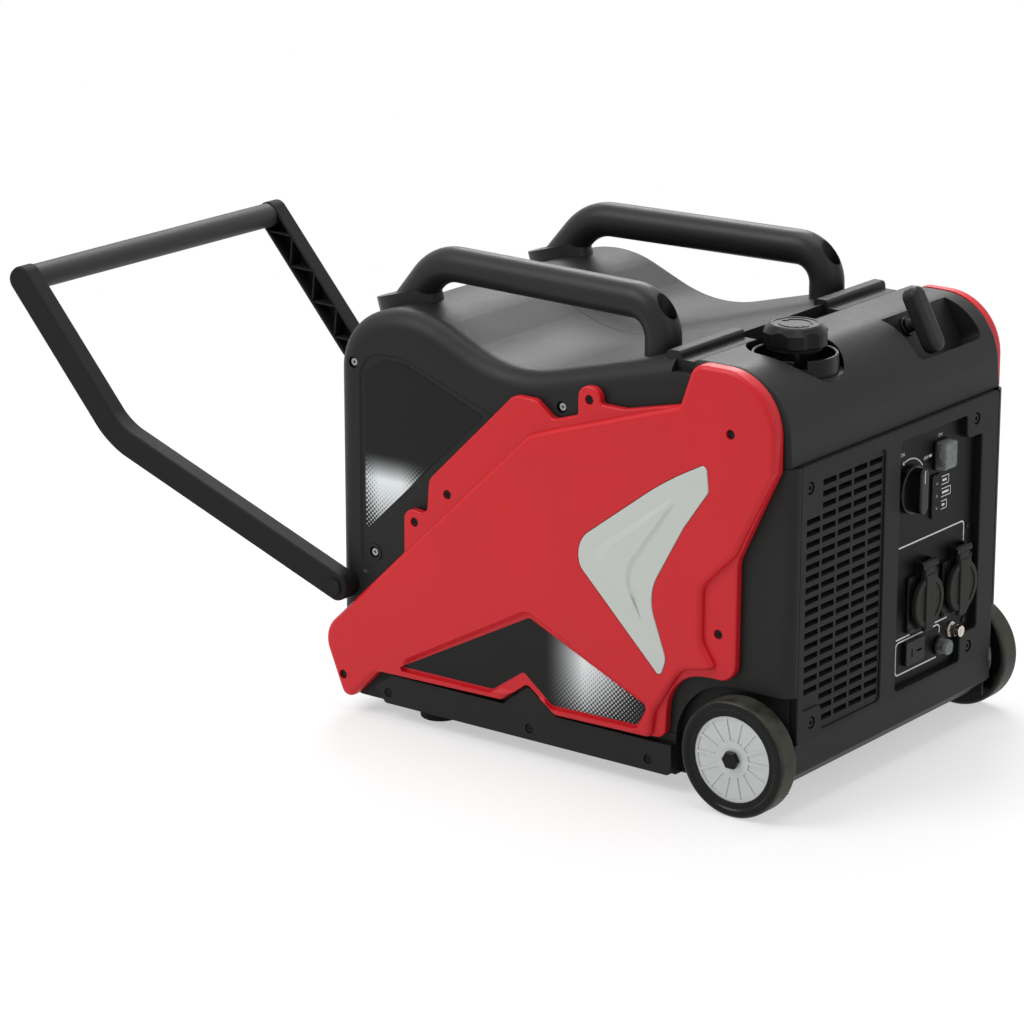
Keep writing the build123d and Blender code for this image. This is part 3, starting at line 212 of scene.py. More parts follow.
class Graph:
    """The node tree of a material or of the world."""

    def __init__(self, owner: Any) -> None:
        """Empties the owner's tree.

        Args:
            owner: the material or the world.
        """
        self.owner = owner
        owner.use_nodes = True
        self.tree = owner.node_tree
        self.tree.nodes.clear()

    def node(self, kind: str, settings: dict[str, Any], inputs: dict[Any, Any], output: Any = 0) -> Any:
        """Adds a node.

        Args:
            kind: the node's type.
            settings: properties that are set first.
            inputs: socket name or number to a value or a Wire.
            output: name or number of the output that is wanted, or None for an end node.

        Returns:
            The chosen output.
        """
        made = self.tree.nodes.new(kind)
        for key, value in settings.items():
            setattr(made, key, value)
        for key, value in inputs.items():
            if isinstance(value, Wire):
                self.tree.links.new(value.socket, made.inputs[key])
            else:
                made.inputs[key].default_value = value
        return None if output is None else Wire(self, made.outputs[output])

    def spot(self) -> Wire:
        """Object coordinates."""
        return self.node("ShaderNodeTexCoord", {}, {}, "Object")

    def axis(self, number: int) -> Wire:
        """One object coordinate as a value."""
        return self.node("ShaderNodeSeparateXYZ", {}, {0: self.spot()}, number)

    def noise(self, scale: float, detail: float = 3.0) -> Wire:
        """Noise of about 0 to 1, with its cells in a metre and its octaves."""
        inputs = {"Vector": self.spot(), "Scale": scale, "Detail": detail}
        return self.node("ShaderNodeTexNoise", {}, inputs)

    def mix(self, factor: Any, first: Any, second: Any) -> Wire:
        """Mix of two colours or Wires, with the share of the second."""
        pair = [(*c, 1.0) if isinstance(c, tuple) else c for c in (first, second)]
        return self.node("ShaderNodeMix", {"data_type": "RGBA"}, {0: factor, 6: pair[0], 7: pair[1]}, 2)

    def bump(self, height: Wire, strength: float, distance: float = 0.0004) -> Wire:
        """Normal from a height."""
        inputs = {"Height": height, "Distance": distance, "Strength": strength}
        return self.node("ShaderNodeBump", {}, inputs)

    def shader(self, sockets: dict[str, Any]) -> Wire:
        """Principled shader with the given sockets."""
        return self.node("ShaderNodeBsdfPrincipled", {}, sockets)

    def close(self, shader: Wire) -> Any:
        """Links a shader to the output.

        Args:
            shader: what the surface or the world shows.

        Returns:
            The finished material or world.
        """
        kind = "World" if isinstance(self.owner, World) else "Material"
        self.node(f"ShaderNodeOutput{kind}", {}, {"Surface": shader}, None)
        return self.owner


@dataclass(frozen=True)
class Finish:
    """A moulded, painted or plated surface with a fine grain and slight unevenness."""

    name: str
    code: str  # sRGB
    roughness: float = 0.5
    metallic: float = 0.0  # 1 for bare metal
    coat: float = 0.0  # weight of a clear coat
    grain: float = 0.0  # cells in a metre, 0 for a smooth face
    depth: float = 0.15  # strength of the grain
    tone: float = 0.08  # how far the colour drifts
    gloss: float = 0.17  # specular level
    cloud: float = 9.0  # cells of the broad unevenness in a metre

    def colour(self, graph: Graph, cloud: Wire) -> Wire:
        """Colour over the surface.

        Args:
            graph: the material's tree.
            cloud: broad noise.

        Returns:
            The colour socket.
        """
        base = ink(self.code)
        darker = tuple(c * (1 - self.tone) for c in base)
        lighter = tuple(min(c * (1 + self.tone) + LEAST_LIFT, 1.0) for c in base)
        return graph.mix(cloud, darker, lighter)

    def shine(self, graph: Graph, cloud: Wire) -> Wire:
        """Roughness over the surface."""
        fine = (graph.noise(FINE_CELLS) - 0.5) * FINE_DRIFT
        return (cloud - 0.5) * BROAD_DRIFT + fine + self.roughness

    def sockets(self, graph: Graph, cloud: Wire) -> dict[str, Any]:
        """Inputs of the shader.

        Args:
            graph: the material's tree.
            cloud: broad noise.

        Returns:
            Socket names with their values.
        """
        made: dict[str, Any] = {
            "Base Color": self.colour(graph, cloud),
            "Roughness": self.shine(graph, cloud),
            "Metallic": self.metallic,
            "Specular IOR Level": self.gloss,
            "Coat Weight": self.coat,
            "Coat Roughness": COAT_ROUGHNESS,
        }
        if self.grain:
            made["Normal"] = graph.bump(graph.noise(self.grain, GRAIN_OCTAVES), self.depth)
        return made

    def material(self) -> Material:
        """Builds the material once.

        Returns:
            The material.
        """
        ready = bpy.data.materials.get(self.name)
        if ready:
            return ready
        graph = Graph(bpy.data.materials.new(self.name))
        return graph.close(graph.shader(self.sockets(graph, graph.noise(self.cloud))))


@dataclass(frozen=True)
class TyreFinish(Finish):
    """Rubber whose tread is dusty and whose walls are shiny."""

    dust: str = "3c3d35"  # sRGB of the dusty tread
    tread: float = 0.0592  # radius at which the dust is full, in metres
    edge: float = 0.0016  # width over which it sets in
    patches: float = 60.0  # cells of its patches in a metre
    patchy: Pair = (0.2, 0.6)  # noise at which a patch starts and is full
    dull: float = 0.35  # roughness that dust adds

    def worn(self, graph: Graph) -> Wire:
        """Share of dust at a distance from the axle.

        Args:
            graph: the material's tree.

        Returns:
            0 on the walls, up to 1 on the tread.
        """
        ahead = graph.axis(0) - AXLE_X
        above = graph.axis(2) - AXLE_Z
        radius = (ahead * ahead + above * above).root()
        patches = graph.noise(self.patches).ramp(*self.patchy)
        return radius.ramp(self.tread - self.edge, self.tread) * patches

    def colour(self, graph: Graph, cloud: Wire) -> Wire:
        """Rubber colour with dust on the tread."""
        return graph.mix(self.worn(graph), Finish.colour(self, graph, cloud), ink(self.dust))

    def shine(self, graph: Graph, cloud: Wire) -> Wire:
        """Dull on the tread and glossy on the walls."""
        return Finish.shine(self, graph, cloud) + self.worn(graph) * self.dull


@dataclass(frozen=True)
class Halftone(Finish):
    """A black film with a silvery glow that breaks up into dots."""

    glow: str = "dce2e3"  # sRGB
    along: Along = Along.HEIGHT  # direction of the fade
    rise: Pair = (0.0, 1.0)  # where the glow starts and is full, in millimetres from the axle or the floor
    fade: Pair = (1.0, 2.0)  # where it starts to fade and is gone
    middle: float = 0.0  # middle of the glow across the fade
    core: float = 0.0  # half-width of its full part
    reach: float = 100.0  # half-width of the whole glow
    pitch: float = 3.6  # spacing of the dots
    dot: float = 0.78  # radius of a full dot, as a share of the spacing
    crisp: float = 5.0  # sharpness of a dot's edge
    veil: float = 0.4  # brightness of the smallest dots

    def colour(self, graph: Graph, cloud: Wire) -> Wire:
        """Black film with dots whose size follows the glow.

        Args:
            graph: the material's tree.
            cloud: broad noise.

        Returns:
            The colour socket.
        """
        length = (graph.axis(0) - AXLE_X) * PER_METRE
        height = graph.axis(2) * PER_METRE
        main, cross = (length, height) if self.along is Along.LENGTH else (height, length)
        start = main.ramp(*self.rise)
        level = (1.0 - main.ramp(*self.fade)) * (1.0 - abs(cross - self.middle).ramp(self.core, self.reach))
        right = ((length + height) * (DIAGONAL / self.pitch)).cell() - 0.5
        left = ((length - height) * (DIAGONAL / self.pitch)).cell() - 0.5
        apart = (right * right + left * left).root()
        dots = ((level.root() * self.dot - apart) * self.crisp).clamp()
        soft = start * start * (level * (1 - self.veil) + self.veil)
        return graph.mix(dots * soft, Finish.colour(self, graph, cloud), ink(self.glow))


@dataclass(frozen=True)
class ClearFinish(Finish):
    """Thin see-through plastic, slightly smoked, that shows more at a glancing angle."""

    gloss: float = 0.35
    cloud: float = 40.0
    alpha: float = 0.07  # cover where it is seen straight on
    glance: float = 0.3  # cover that a glancing angle adds
    blend: float = 0.35  # angle at which that sets in
    drift: float = 0.04  # how far roughness drifts

    def sockets(self, graph: Graph, cloud: Wire) -> dict[str, Any]:
        """Inputs of the shader.

        Args:
            graph: the material's tree.
            cloud: broad noise.

        Returns:
            Socket names with their values.
        """
        edge = graph.node("ShaderNodeLayerWeight", {}, {"Blend": self.blend}, "Facing")
        return {
            "Base Color": self.colour(graph, cloud),
            "Roughness": (cloud - 0.5) * self.drift + self.roughness,
            "Specular IOR Level": self.gloss,
            "Alpha": (edge * self.glance + self.alpha).clamp(),
        }


CASE_BLACK = Finish("case_black", "1c1d1c", 0.46, grain=900.0, depth=0.12)
# painted shade: the case black made darker for the front panel and its grille, where the front face lies in
# shade
SHADED_FRONT_BLACK = Finish("front_black_painted_shade", "161716", 0.48, grain=900.0, depth=0.12, gloss=0.14)
HOOD_BLACK = Finish("hood_black", "191a18", 0.42, grain=900.0, depth=0.08)
BASE_BLACK = Finish("base_black", "1a1b1a", 0.5, grain=900.0, depth=0.12)
HANDLE_BLACK = Finish("handle_black", "222322", 0.38, grain=700.0, depth=0.10)
TOW_BLACK = Finish("tow_black", "1b1c1b", 0.62, grain=700.0, depth=0.10, gloss=0.10)
GRIP_RUBBER = Finish("grip_rubber", "353635", 0.52, grain=500.0, depth=0.25, gloss=0.18)
COVER_RED = Finish("cover_red", "c21c25", 0.38, coat=0.05, grain=1100.0, depth=0.05, tone=0.05, gloss=0.22)
ACCENT_GREY = Finish("accent_grey", "b9beb8", 0.36, metallic=0.3, coat=0.1, tone=0.03, gloss=0.4)
HUB_SILVER = Finish("hub_silver", "bcc1c0", 0.38, metallic=0.25, tone=0.05, gloss=0.4)
TYRE_BLACK = TyreFinish("tyre_black", "0b0c0b", 0.27, coat=0.07, grain=300.0, depth=0.05, gloss=0.14)
SOFT_RUBBER = Finish("soft_rubber", "121212", 0.7)
GLOSS_BLACK = Finish("gloss_black", "0d0e0d", 0.3, coat=0.02, tone=0.05, gloss=0.15)
KNOB_BLACK = Finish("knob_black", "070808", 0.22, coat=0.1, tone=0.05, gloss=0.2)
LID_GREY = Finish("lid_grey", "20211d", 0.55, grain=800.0, depth=0.1)
PLATE_BLACK = Finish("plate_black", "0b0c0c", 0.42, tone=0.05, gloss=0.1)
SOCKET_BLACK = Finish("socket_black", "0c0d0d", 0.34, tone=0.05)
ZINC = Finish("zinc", "9c9e9b", 0.28, metallic=1.0, gloss=0.5)
DARK_SCREW = Finish("dark_screw", "1d1d1e", 0.4, metallic=0.6)
# painted shade: flat black for the shade inside the screws' cross recesses
PAINTED_RECESS_SHADE = Finish("painted_recess_shade", "0b0b0b", 0.8)
BRASS = Finish("pale_brass", "c6c0b7", 0.24, metallic=1.0, gloss=0.5)
SMOKED_CLEAR = ClearFinish("smoked_clear", "b4babb", 0.08, tone=0.02)
KEY_GREY = Finish("key_grey", "3a3c3d", 0.4)
LAMP_LENS = Finish("lamp_lens", "5c625f", 0.2, coat=0.4, tone=0.02)
TANK_GREY = Finish("tank_grey", "2c2d2e", 0.55)
CASTING = Finish("casting", "9b9d9f", 0.45, metallic=1.0, grain=400.0, depth=0.15, gloss=0.5)
HOT_STEEL = Finish("hot_steel", "6b6864", 0.5, metallic=0.8, gloss=0.5)
WINDING = Finish("winding", "a8652f", 0.35, metallic=0.9, gloss=0.5)
CORD_BLACK = Finish("cord_black", "161717", 0.8, grain=600.0, depth=0.3)
PRINT_WHITE = Finish("print_white", "d2d4d3", 0.5, tone=0.01)
SIDE_FILM = Halftone(
    "side_film", "101110", 0.36, along=Along.HEIGHT, rise=(286, 258), fade=(254, 186),
    middle=-448, core=14, reach=52,
)
SILL_FILM = Halftone(
    "sill_film", "101110", 0.36, along=Along.LENGTH, rise=(-240, -192), fade=(-186, -110),
    middle=126, core=10, reach=92,
)


def soften(
    shape: BMesh, parts: Sequence[Any], reach: float, steps: int, kind: Rounding = Rounding.EDGES,
) -> None:
    """Rounds edges or corners.

    Args:
        shape: the bmesh.
        parts: its edges or corners.
        reach: how far the rounding reaches.
        steps: facets of the rounding.
        kind: what is rounded.
    """
    bmesh.ops.bevel(
        shape, geom=parts, affect=kind.value, offset=reach * MM, segments=steps, profile=0.5, material=-1,
    )


def soften_front(shape: BMesh, view: View, level: float, reach: float, steps: int) -> None:
    """Rounds the edges of a shape that lie wholly beyond a level.

    Args:
        shape: the bmesh.
        view: the face that it stands on.
        level: the level.
        reach: how far the rounding reaches.
        steps: facets of the rounding.
    """
    height = view.point(0, 0, level).dot(view.out)
    rim = [e for e in shape.edges if all(v.co.dot(view.out) > height for v in e.verts)]
    soften(shape, rim, reach, steps)


def slab(
    view: View, outline: Sequence[Sequence[float]], level: float, thick: float, corner: float = 0.0,
    steps: int = 6,
) -> BMesh:
    """Makes a flat plate from an outline.

    Args:
        view: the face that it is drawn on.
        outline: its corners in order.
        level: where its back is.
        thick: its thickness, outwards.
        corner: radius of its corners.
        steps: facets of a corner.

    Returns:
        A new bmesh.
    """
    shape = bmesh.new()
    corners = [shape.verts.new(view.point(u, v, level)) for u, v in outline]
    shape.faces.new(corners)
    if corner:
        soften(shape, corners, corner, steps, Rounding.CORNERS)
    grown = bmesh.ops.extrude_face_region(shape, geom=shape.faces[:], use_keep_orig=True)["geom"]
    moved = [v for v in grown if isinstance(v, BMVert)]
    bmesh.ops.translate(shape, verts=moved, vec=view.out * thick * MM)
    return shape


def revolve(
    view: View, spot: Spot, profile: Sequence[Pair], span: Pair = (0.0, 360.0), steps: int = 96,
) -> BMesh:
    """Turns a closed profile round an axis that stands on a face.

    Args:
        view: the face that the axis stands on.
        spot: where the axis stands.
        profile: radius and level of the corners in order.
        span: first and last angle in degrees.
        steps: steps of the turn.

    Returns:
        A new bmesh.
    """
    shape = bmesh.new()
    middle, start = Vector(spot), ray(span[0])
    face = shape.faces.new([shape.verts.new(view.point(*(middle + start * r), at)) for r, at in profile])
    whole = span[1] - span[0] >= 360
    if whole:
        shape.faces.remove(face)
    bmesh.ops.spin(
        shape, geom=[*shape.verts, *shape.edges, *shape.faces], cent=view.point(*spot, 0.0), axis=view.out,
        angle=math.radians(span[1] - span[0]), steps=steps, use_merge=whole, use_duplicate=False,
    )
    if not whole:
        bmesh.ops.holes_fill(shape, edges=shape.edges[:], sides=len(profile))
    return shape


def grow(shape: BMesh, face: BMFace, shift: Vector, keep: bool = False) -> BMFace:
    """Extrudes one face.

    Args:
        shape: the bmesh.
        face: the face.
        shift: how far the new face moves.
        keep: leave the old face in place.

    Returns:
        The new face.
    """
    grown = bmesh.ops.extrude_face_region(shape, geom=[face])["geom"]
    if not keep:
        bmesh.ops.delete(shape, geom=[face], context="FACES_ONLY")
    made = next(f for f in grown if isinstance(f, BMFace))
    bmesh.ops.translate(shape, verts=made.verts[:], vec=shift)
    return made


def hollowed(solid: BMesh, view: View, wall: float) -> BMesh:
    """Opens the back of a closed shape and gives it a wall.

    Args:
        solid: the closed shape.
        view: the face that it stands on.
        wall: thickness of the wall.

    Returns:
        The same bmesh as a shell.
    """
    bmesh.ops.recalc_face_normals(solid, faces=solid.faces[:])
    back = [f for f in solid.faces if f.normal.dot(view.out) < BACKWARD]
    bmesh.ops.delete(solid, geom=back, context="FACES_ONLY")
    bmesh.ops.solidify(solid, geom=solid.faces[:], thickness=wall * MM)
    return solid


def mirrored(shape: BMesh) -> BMesh:
    """Adds the mirror image on the other side of the machine."""
    bmesh.ops.mirror(shape, geom=[*shape.verts, *shape.edges, *shape.faces], axis="Y", merge_dist=-1.0)
    return shape


@dataclass(frozen=True)
class Block:
    """An upright rectangular plate."""

    low: Spot  # lower corner, from the spot it stands at
    high: Spot  # upper corner
    back: float  # out from the face it stands on
    thick: float
    corner: float = 0.0
    edge: float = 0.0  # rounding of the front edges
    steps: int = 3  # facets of that rounding

    def on(self, view: View, spot: Spot, face: float) -> BMesh:
        """Sets the plate up.

        Args:
            view: the face that it stands on.
            spot: where it stands.
            face: level of the face.

        Returns:
            A new bmesh.
        """
        corners = (self.low, (self.high[0], self.low[1]), self.high, (self.low[0], self.high[1]))
        outline = [(spot[0] + u, spot[1] + v) for u, v in corners]
        shape = slab(view, outline, face + self.back, self.thick, self.corner)
        if self.edge:
            soften_front(shape, view, face + self.back + self.thick / 2, self.edge, self.steps)
        return shape


@dataclass(frozen=True)
class Post:
    """A round plate or a short post."""

    radius: float
    back: float  # out from the face it stands on
    thick: float
    edge: float = 0.0  # rounding of the front rim
    sides: int = 40  # flats round it
    steps: int = 3  # facets of the rounding

    def on(self, view: View, spot: Sequence[float], face: float) -> BMesh:
        """Sets the post up.

        Args:
            view: the face that it stands on.
            spot: where it stands.
            face: level of the face.

        Returns:
            A new bmesh.
        """
        shape = bmesh.new()
        middle = face + self.back + self.thick / 2
        bmesh.ops.create_cone(
            shape, cap_ends=True, segments=self.sides, radius1=self.radius * MM, radius2=self.radius * MM,
            depth=self.thick * MM, matrix=view.seat(spot, middle),
        )
        if self.edge:
            soften_front(shape, view, middle, self.edge, self.steps)
        return shape


@dataclass(frozen=True)
class Pen:
    """Raised or printed lines of one width on one face."""

    view: View
    width: float
    level: float  # where the lines' backs are
    thick: float
    steps: int = 24  # steps of a curve

    def line(self, start: Sequence[float], stop: Sequence[float]) -> BMesh:
        """Makes a straight line.

        Args:
            start: middle of its first end.
            stop: middle of its last end.

        Returns:
            A new bmesh.
        """
        first, last = Vector(start), Vector(stop)
        run = last - first
        aside = Vector((-run.y, run.x)).normalized() * self.width / 2
        outline = (first - aside, last - aside, last + aside, first + aside)
        return slab(self.view, outline, self.level, self.thick)

    def arc(self, spot: Spot, radius: float, span: Pair) -> BMesh:
        """Makes a curved line.

        Args:
            spot: centre of the curve.
            radius: radius of its middle line.
            span: first and last angle in degrees.

        Returns:
            A new bmesh.
        """
        near, far, top = radius - self.width / 2, radius + self.width / 2, self.level + self.thick
        profile = ((near, self.level), (far, self.level), (far, top), (near, top))
        return revolve(self.view, spot, profile, span, self.steps)

    def word(self, text: str, spot: Spot, size: float) -> BMesh:
        """Makes lettering.

        Args:
            text: the word.
            spot: its middle.
            size: its height.

        Returns:
            A new bmesh.
        """
        curve = bpy.data.curves.new(text, "FONT")
        curve.body = text
        curve.size = size * MM
        curve.extrude = self.thick / 2 * MM
        curve.align_x = "CENTER"
        curve.align_y = "CENTER"
        holder = bpy.data.objects.new(text, curve)
        mesh = bpy.data.meshes.new_from_object(holder)
        shape = bmesh.new()
        shape.from_mesh(mesh)
        seat = self.view.seat(spot, self.level + self.thick / 2)
        bmesh.ops.transform(shape, matrix=seat, verts=shape.verts[:])
        bpy.data.objects.remove(holder)
        bpy.data.curves.remove(curve)
        bpy.data.meshes.remove(mesh)
        return shape


def piece(
    name: str, shapes: Sequence[BMesh], finish: Finish, body: str = HOUSING,
    keep_normals: bool = False,
) -> Object:
    """Makes one object from bmeshes whose place is already in their points.

    Args:
        name: the object's name.
        shapes: finished bmeshes, which are freed.
        finish: its finish.
        body: the body that it rides on, or nothing for a piece that rides on none.
        keep_normals: leave the normals of a shell as they are.

    Returns:
        The linked object.
    """
    whole = bmesh.new()
    for shape in shapes:
        if not keep_normals:
            bmesh.ops.recalc_face_normals(shape, faces=shape.faces[:])
        part = bpy.data.meshes.new("part")
        shape.to_mesh(part)
        shape.free()
        whole.from_mesh(part)
        bpy.data.meshes.remove(part)
    mesh = bpy.data.meshes.new(name)
    whole.to_mesh(mesh)
    whole.free()
    mesh.materials.append(finish.material())
    made = bpy.data.objects.new(name, mesh)
    bpy.context.scene.collection.objects.link(made)
    if body:
        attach(made, body)
    return made


Dressing = dict[Finish, Sequence[str]]


@dataclass
class Assembly:
    """A sub-assembly: CAD nodes with their finishes, and the pieces built on them."""

    finishes: ClassVar[Dressing] = {}

    def build(self) -> list[Object]:
        """Pieces that the CAD model doesn't have."""
        return []

    def dress(self, nodes: dict[str, Object]) -> list[str]:
        """Gives each node its finish.

        Args:
            nodes: the frame's CAD nodes.

        Returns:
            Names of the nodes that were dressed.
        """
        done: list[str] = []
        for finish, names in self.finishes.items():
            for name in names:
                mesh = nodes[name].data
                mesh.materials.clear()
                mesh.materials.append(finish.material())
                done.append(name)
        return done


@dataclass
class Casing(Assembly):
    """Case halves, hood, base, covers and the films on the near side."""

    field_level: float = 193.9  # depth of the sunk field from the middle plane
    field_film: tuple[Spot, ...] = ((-480, 200), (-480, 370), (-456, 386), (-428, 385), (-326, 346))
    field_corner: float = 5.0
    sill_level: float = 205.9  # depth of the label recess
    sill_film: tuple[Spot, ...] = (
        (-424, 64), (-259, 150), (-112, 86), (-124, 65), (-230, 63), (-266, 91), (-305, 64.5),
    )
    sill_corner: float = 3.0
    film: float = 0.5  # thickness of a film
    # level of the heads and places, for case, cover and rail
    screws: tuple[tuple[float, tuple[Spot, ...]], ...] = (
        (193.5, ((-494, 377), (-469, 177), (-227, 373))),
        (203.0, ((-408, 223), (-365, 260), (-187, 389), (-30, 178))),
        (202.4, ((-445, 30), (-261, 30), (-113, 30))),
    )
    cross: tuple[Block, ...] = (  # dark bars laid on a screw head as painted shade of its cross recess
        Block((-0.5, -2.2), (0.5, 2.2), 0.0, 0.2),
        Block((-2.2, -0.5), (2.2, 0.5), 0.0, 0.2),
    )

    finishes: ClassVar[Dressing] = {
        CASE_BLACK: (*both("case"), "rear_cover"),
        # painted shade: front panel and grille take a darker copy of the case black
        SHADED_FRONT_BLACK: ("front_panel", "inlet_grille"),
        HOOD_BLACK: ("front_hood",),
        BASE_BLACK: ("base_tray",),
        COVER_RED: both("side_cover"),
        ACCENT_GREY: both("accent"),
        ZINC: ("case_screws",),
        DARK_SCREW: ("cover_screws", "front_screws"),
        SOFT_RUBBER: ("rubber_feet",),
    }

    def build(self) -> list[Object]:
        """Films on the near side and dark bars painted as the shade in the screws' cross recesses.

        Returns:
            The new pieces.
        """
        # painted shade: flat dark crosses on the screw heads stand in for the shade in their recesses
        recess_shade_bars = [
            mirrored(bar.on(View.LEFT, spot, level))
            for level, spots in self.screws for spot in spots for bar in self.cross
        ]
        field_film = slab(View.LEFT, self.field_film, self.field_level, self.film, self.field_corner)
        sill_film = slab(View.LEFT, self.sill_film, self.sill_level, self.film, self.sill_corner)
        return [
            piece("side_field_film", [field_film], SIDE_FILM),
            piece("sill_film", [sill_film], SILL_FILM),
            piece("painted_screw_recess_shade", recess_shade_bars, PAINTED_RECESS_SHADE),
        ]


@dataclass
class RunningGear(Assembly):
    """Wheels on their stub axles."""

    finishes: ClassVar[Dressing] = {
        TYRE_BLACK: both("tyre"),
        HUB_SILVER: both("wheel_hub"),
        ZINC: ("stub_axles",),
        DARK_SCREW: ("axle_nuts",),
    }


@dataclass
class Handles(Assembly):
    """Carry handles and the folding tow handle with its softly bent channel arms."""

    pivot: Spot = (-505.0, 138.0)  # pin of the tow arms
    lower: Pair = (327.0, 20.0)  # length and rise, in degrees, of an arm's lower run
    upper: Pair = (202.0, 48.8)  # the same of its upper run
    height: float = 30.0  # height of an arm
    inner: float = 197.5  # level of its inner face
    outer: float = 218.0  # level of its outer face
    wall: float = 3.0  # wall of its channel
    edge: float = 3.0  # rounding of its outer edges
    edge_steps: int = 4
    bend: float = 80.0  # radius of the bend's middle line
    bend_steps: int = 10  # facets of the bend and of the round ends
    flat: float = 1.5  # half of the flat at an end
    bay: float = 24.0  # one bay of the zigzag ribs
    rib: float = 2.2  # thickness of a rib
    clear: float = 14.0  # arm without ribs at both ends of a run
    inset: float = 1.0  # how far bosses and ribs stay inside the faces
    bite: float = 0.2  # how far a rib reaches into the wall
    bore: float = 5.4  # radius of the hole for the pin
    boss_bore: float = 5.7  # radius of the hole in the boss behind it
    sides: int = 40  # flats round the hole

    finishes: ClassVar[Dressing] = {
        HANDLE_BLACK: (*both("carry_handle"), "handle_collars"),
        TOW_BLACK: ("tow_pins",),
        GRIP_RUBBER: ("tow_grip",),
    }

    def way(self, rise: float) -> tuple[Vector, Vector]:
        """Direction of a run with a given rise in degrees, and its downward side."""
        along = ray(180 - rise)
        return along, Vector((-along.y, along.x))

    def channel(self) -> BMesh:
        """One arm as an open channel with round ends and a round bend.

        Returns:
            A new bmesh.
        """
        half = self.height / 2
        (first, below), (second, under) = self.way(self.lower[1]), self.way(self.upper[1])
        elbow = Vector(self.pivot) + first * self.lower[0]
        heel, tip = Vector(self.pivot) - first * half, elbow + second * (self.upper[0] + half)
        turn = math.radians(self.upper[1] - self.lower[1]) / 2
        miter = (below + under).normalized() * half / math.cos(turn)
        outline = (
            heel + below * half, elbow + miter, tip + under * half, tip - under * half, elbow - miter,
            heel - below * half,
        )
        shape = bmesh.new()
        corners = [shape.verts.new(View.LEFT.point(*spot, self.inner)) for spot in outline]
        shape.faces.new(corners)
        rounds = (
            ([corners[1]], (self.bend + half) * math.tan(turn)),
            ([corners[4]], (self.bend - half) * math.tan(turn)),
            ([corners[0], corners[2], corners[3], corners[5]], half - self.flat),
        )
        for verts, reach in rounds:
            soften(shape, verts, reach, self.bend_steps, Rounding.CORNERS)
        mouth = shape.faces[:][0]
        deep = self.outer - self.inner
        side = grow(shape, mouth, View.LEFT.out * deep * MM, keep=True)
        bmesh.ops.inset_region(shape, faces=[mouth], thickness=self.wall * MM)
        grow(shape, mouth, View.LEFT.out * (deep - self.wall) * MM)
        soften(shape, side.edges[:], self.edge, self.edge_steps)
        self.pierce(shape)
        return shape

    def pierce(self, shape: BMesh) -> None:
        """Cuts the hole for the pin through the outer wall of an arm.

        Args:
            shape: the arm's channel, whose wall has one face on each side.
        """
        rims: list[BMEdge] = []
        for level in (self.outer - self.wall, self.outer):
            height = View.LEFT.point(0, 0, level).y
            flat = [f for f in shape.faces if all(abs(v.co.y - height) < SLACK * MM for v in f.verts)]
            outline = flat[0].edges[:]
            bmesh.ops.delete(shape, geom=flat, context="FACES_ONLY")
            seat = View.LEFT.seat(self.pivot, level)
            ring = bmesh.ops.create_circle(shape, segments=self.sides, radius=self.bore * MM, matrix=seat)
            rim = list(dict.fromkeys(edge for vert in ring["verts"] for edge in vert.link_edges))
            bmesh.ops.triangle_fill(shape, use_beauty=True, edges=[*outline, *rim], normal=View.LEFT.out)
            rims += rim
        bmesh.ops.bridge_loops(shape, edges=rims)

    def ribs(self) -> list[BMesh]:
        """Zigzag ribs in the channel of one arm.

        Returns:
            One bar for each rib.
        """
        reach = (self.height - self.wall) / 2
        level = self.inner + self.inset
        pen = Pen(View.LEFT, self.rib, level, self.outer - self.wall + self.bite - level)
        made: list[BMesh] = []
        start = Vector(self.pivot)
        for length, rise in (self.lower, self.upper):
            along, down = self.way(rise)
            run = length - 2 * self.clear
            count = round(run / self.bay)
            stops: list[Vector] = []
            for number in range(count + 1):
                ahead = along * (self.clear + run / count * number)
                stops.append(start + ahead + down * (reach if number % 2 else -reach))
            made += [pen.line(a, b) for a, b in zip(stops, stops[1:])]
            start += along * length
        return made

    def build(self) -> list[Object]:
        """Both tow arms.

        Returns:
            The arms as one piece.
        """
        first, second = self.way(self.lower[1])[0], self.way(self.upper[1])[0]
        end = Vector(self.pivot) + first * self.lower[0] + second * self.upper[0]
        rim, top = self.height / 2 - self.inset, self.outer - self.inset
        ring = ((self.boss_bore, self.inner), (rim, self.inner), (rim, top), (self.boss_bore, top))
        bosses = [
            revolve(View.LEFT, self.pivot, ring, steps=self.sides),
            Post(rim, 0.0, top - self.inner).on(View.LEFT, end, self.inner),
        ]
        shapes = [mirrored(shape) for shape in (self.channel(), *bosses, *self.ribs())]
        arms = piece("tow_channels", shapes, TOW_BLACK, "tow_handle")
        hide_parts(*both("tow_arm"))
        return [arms]


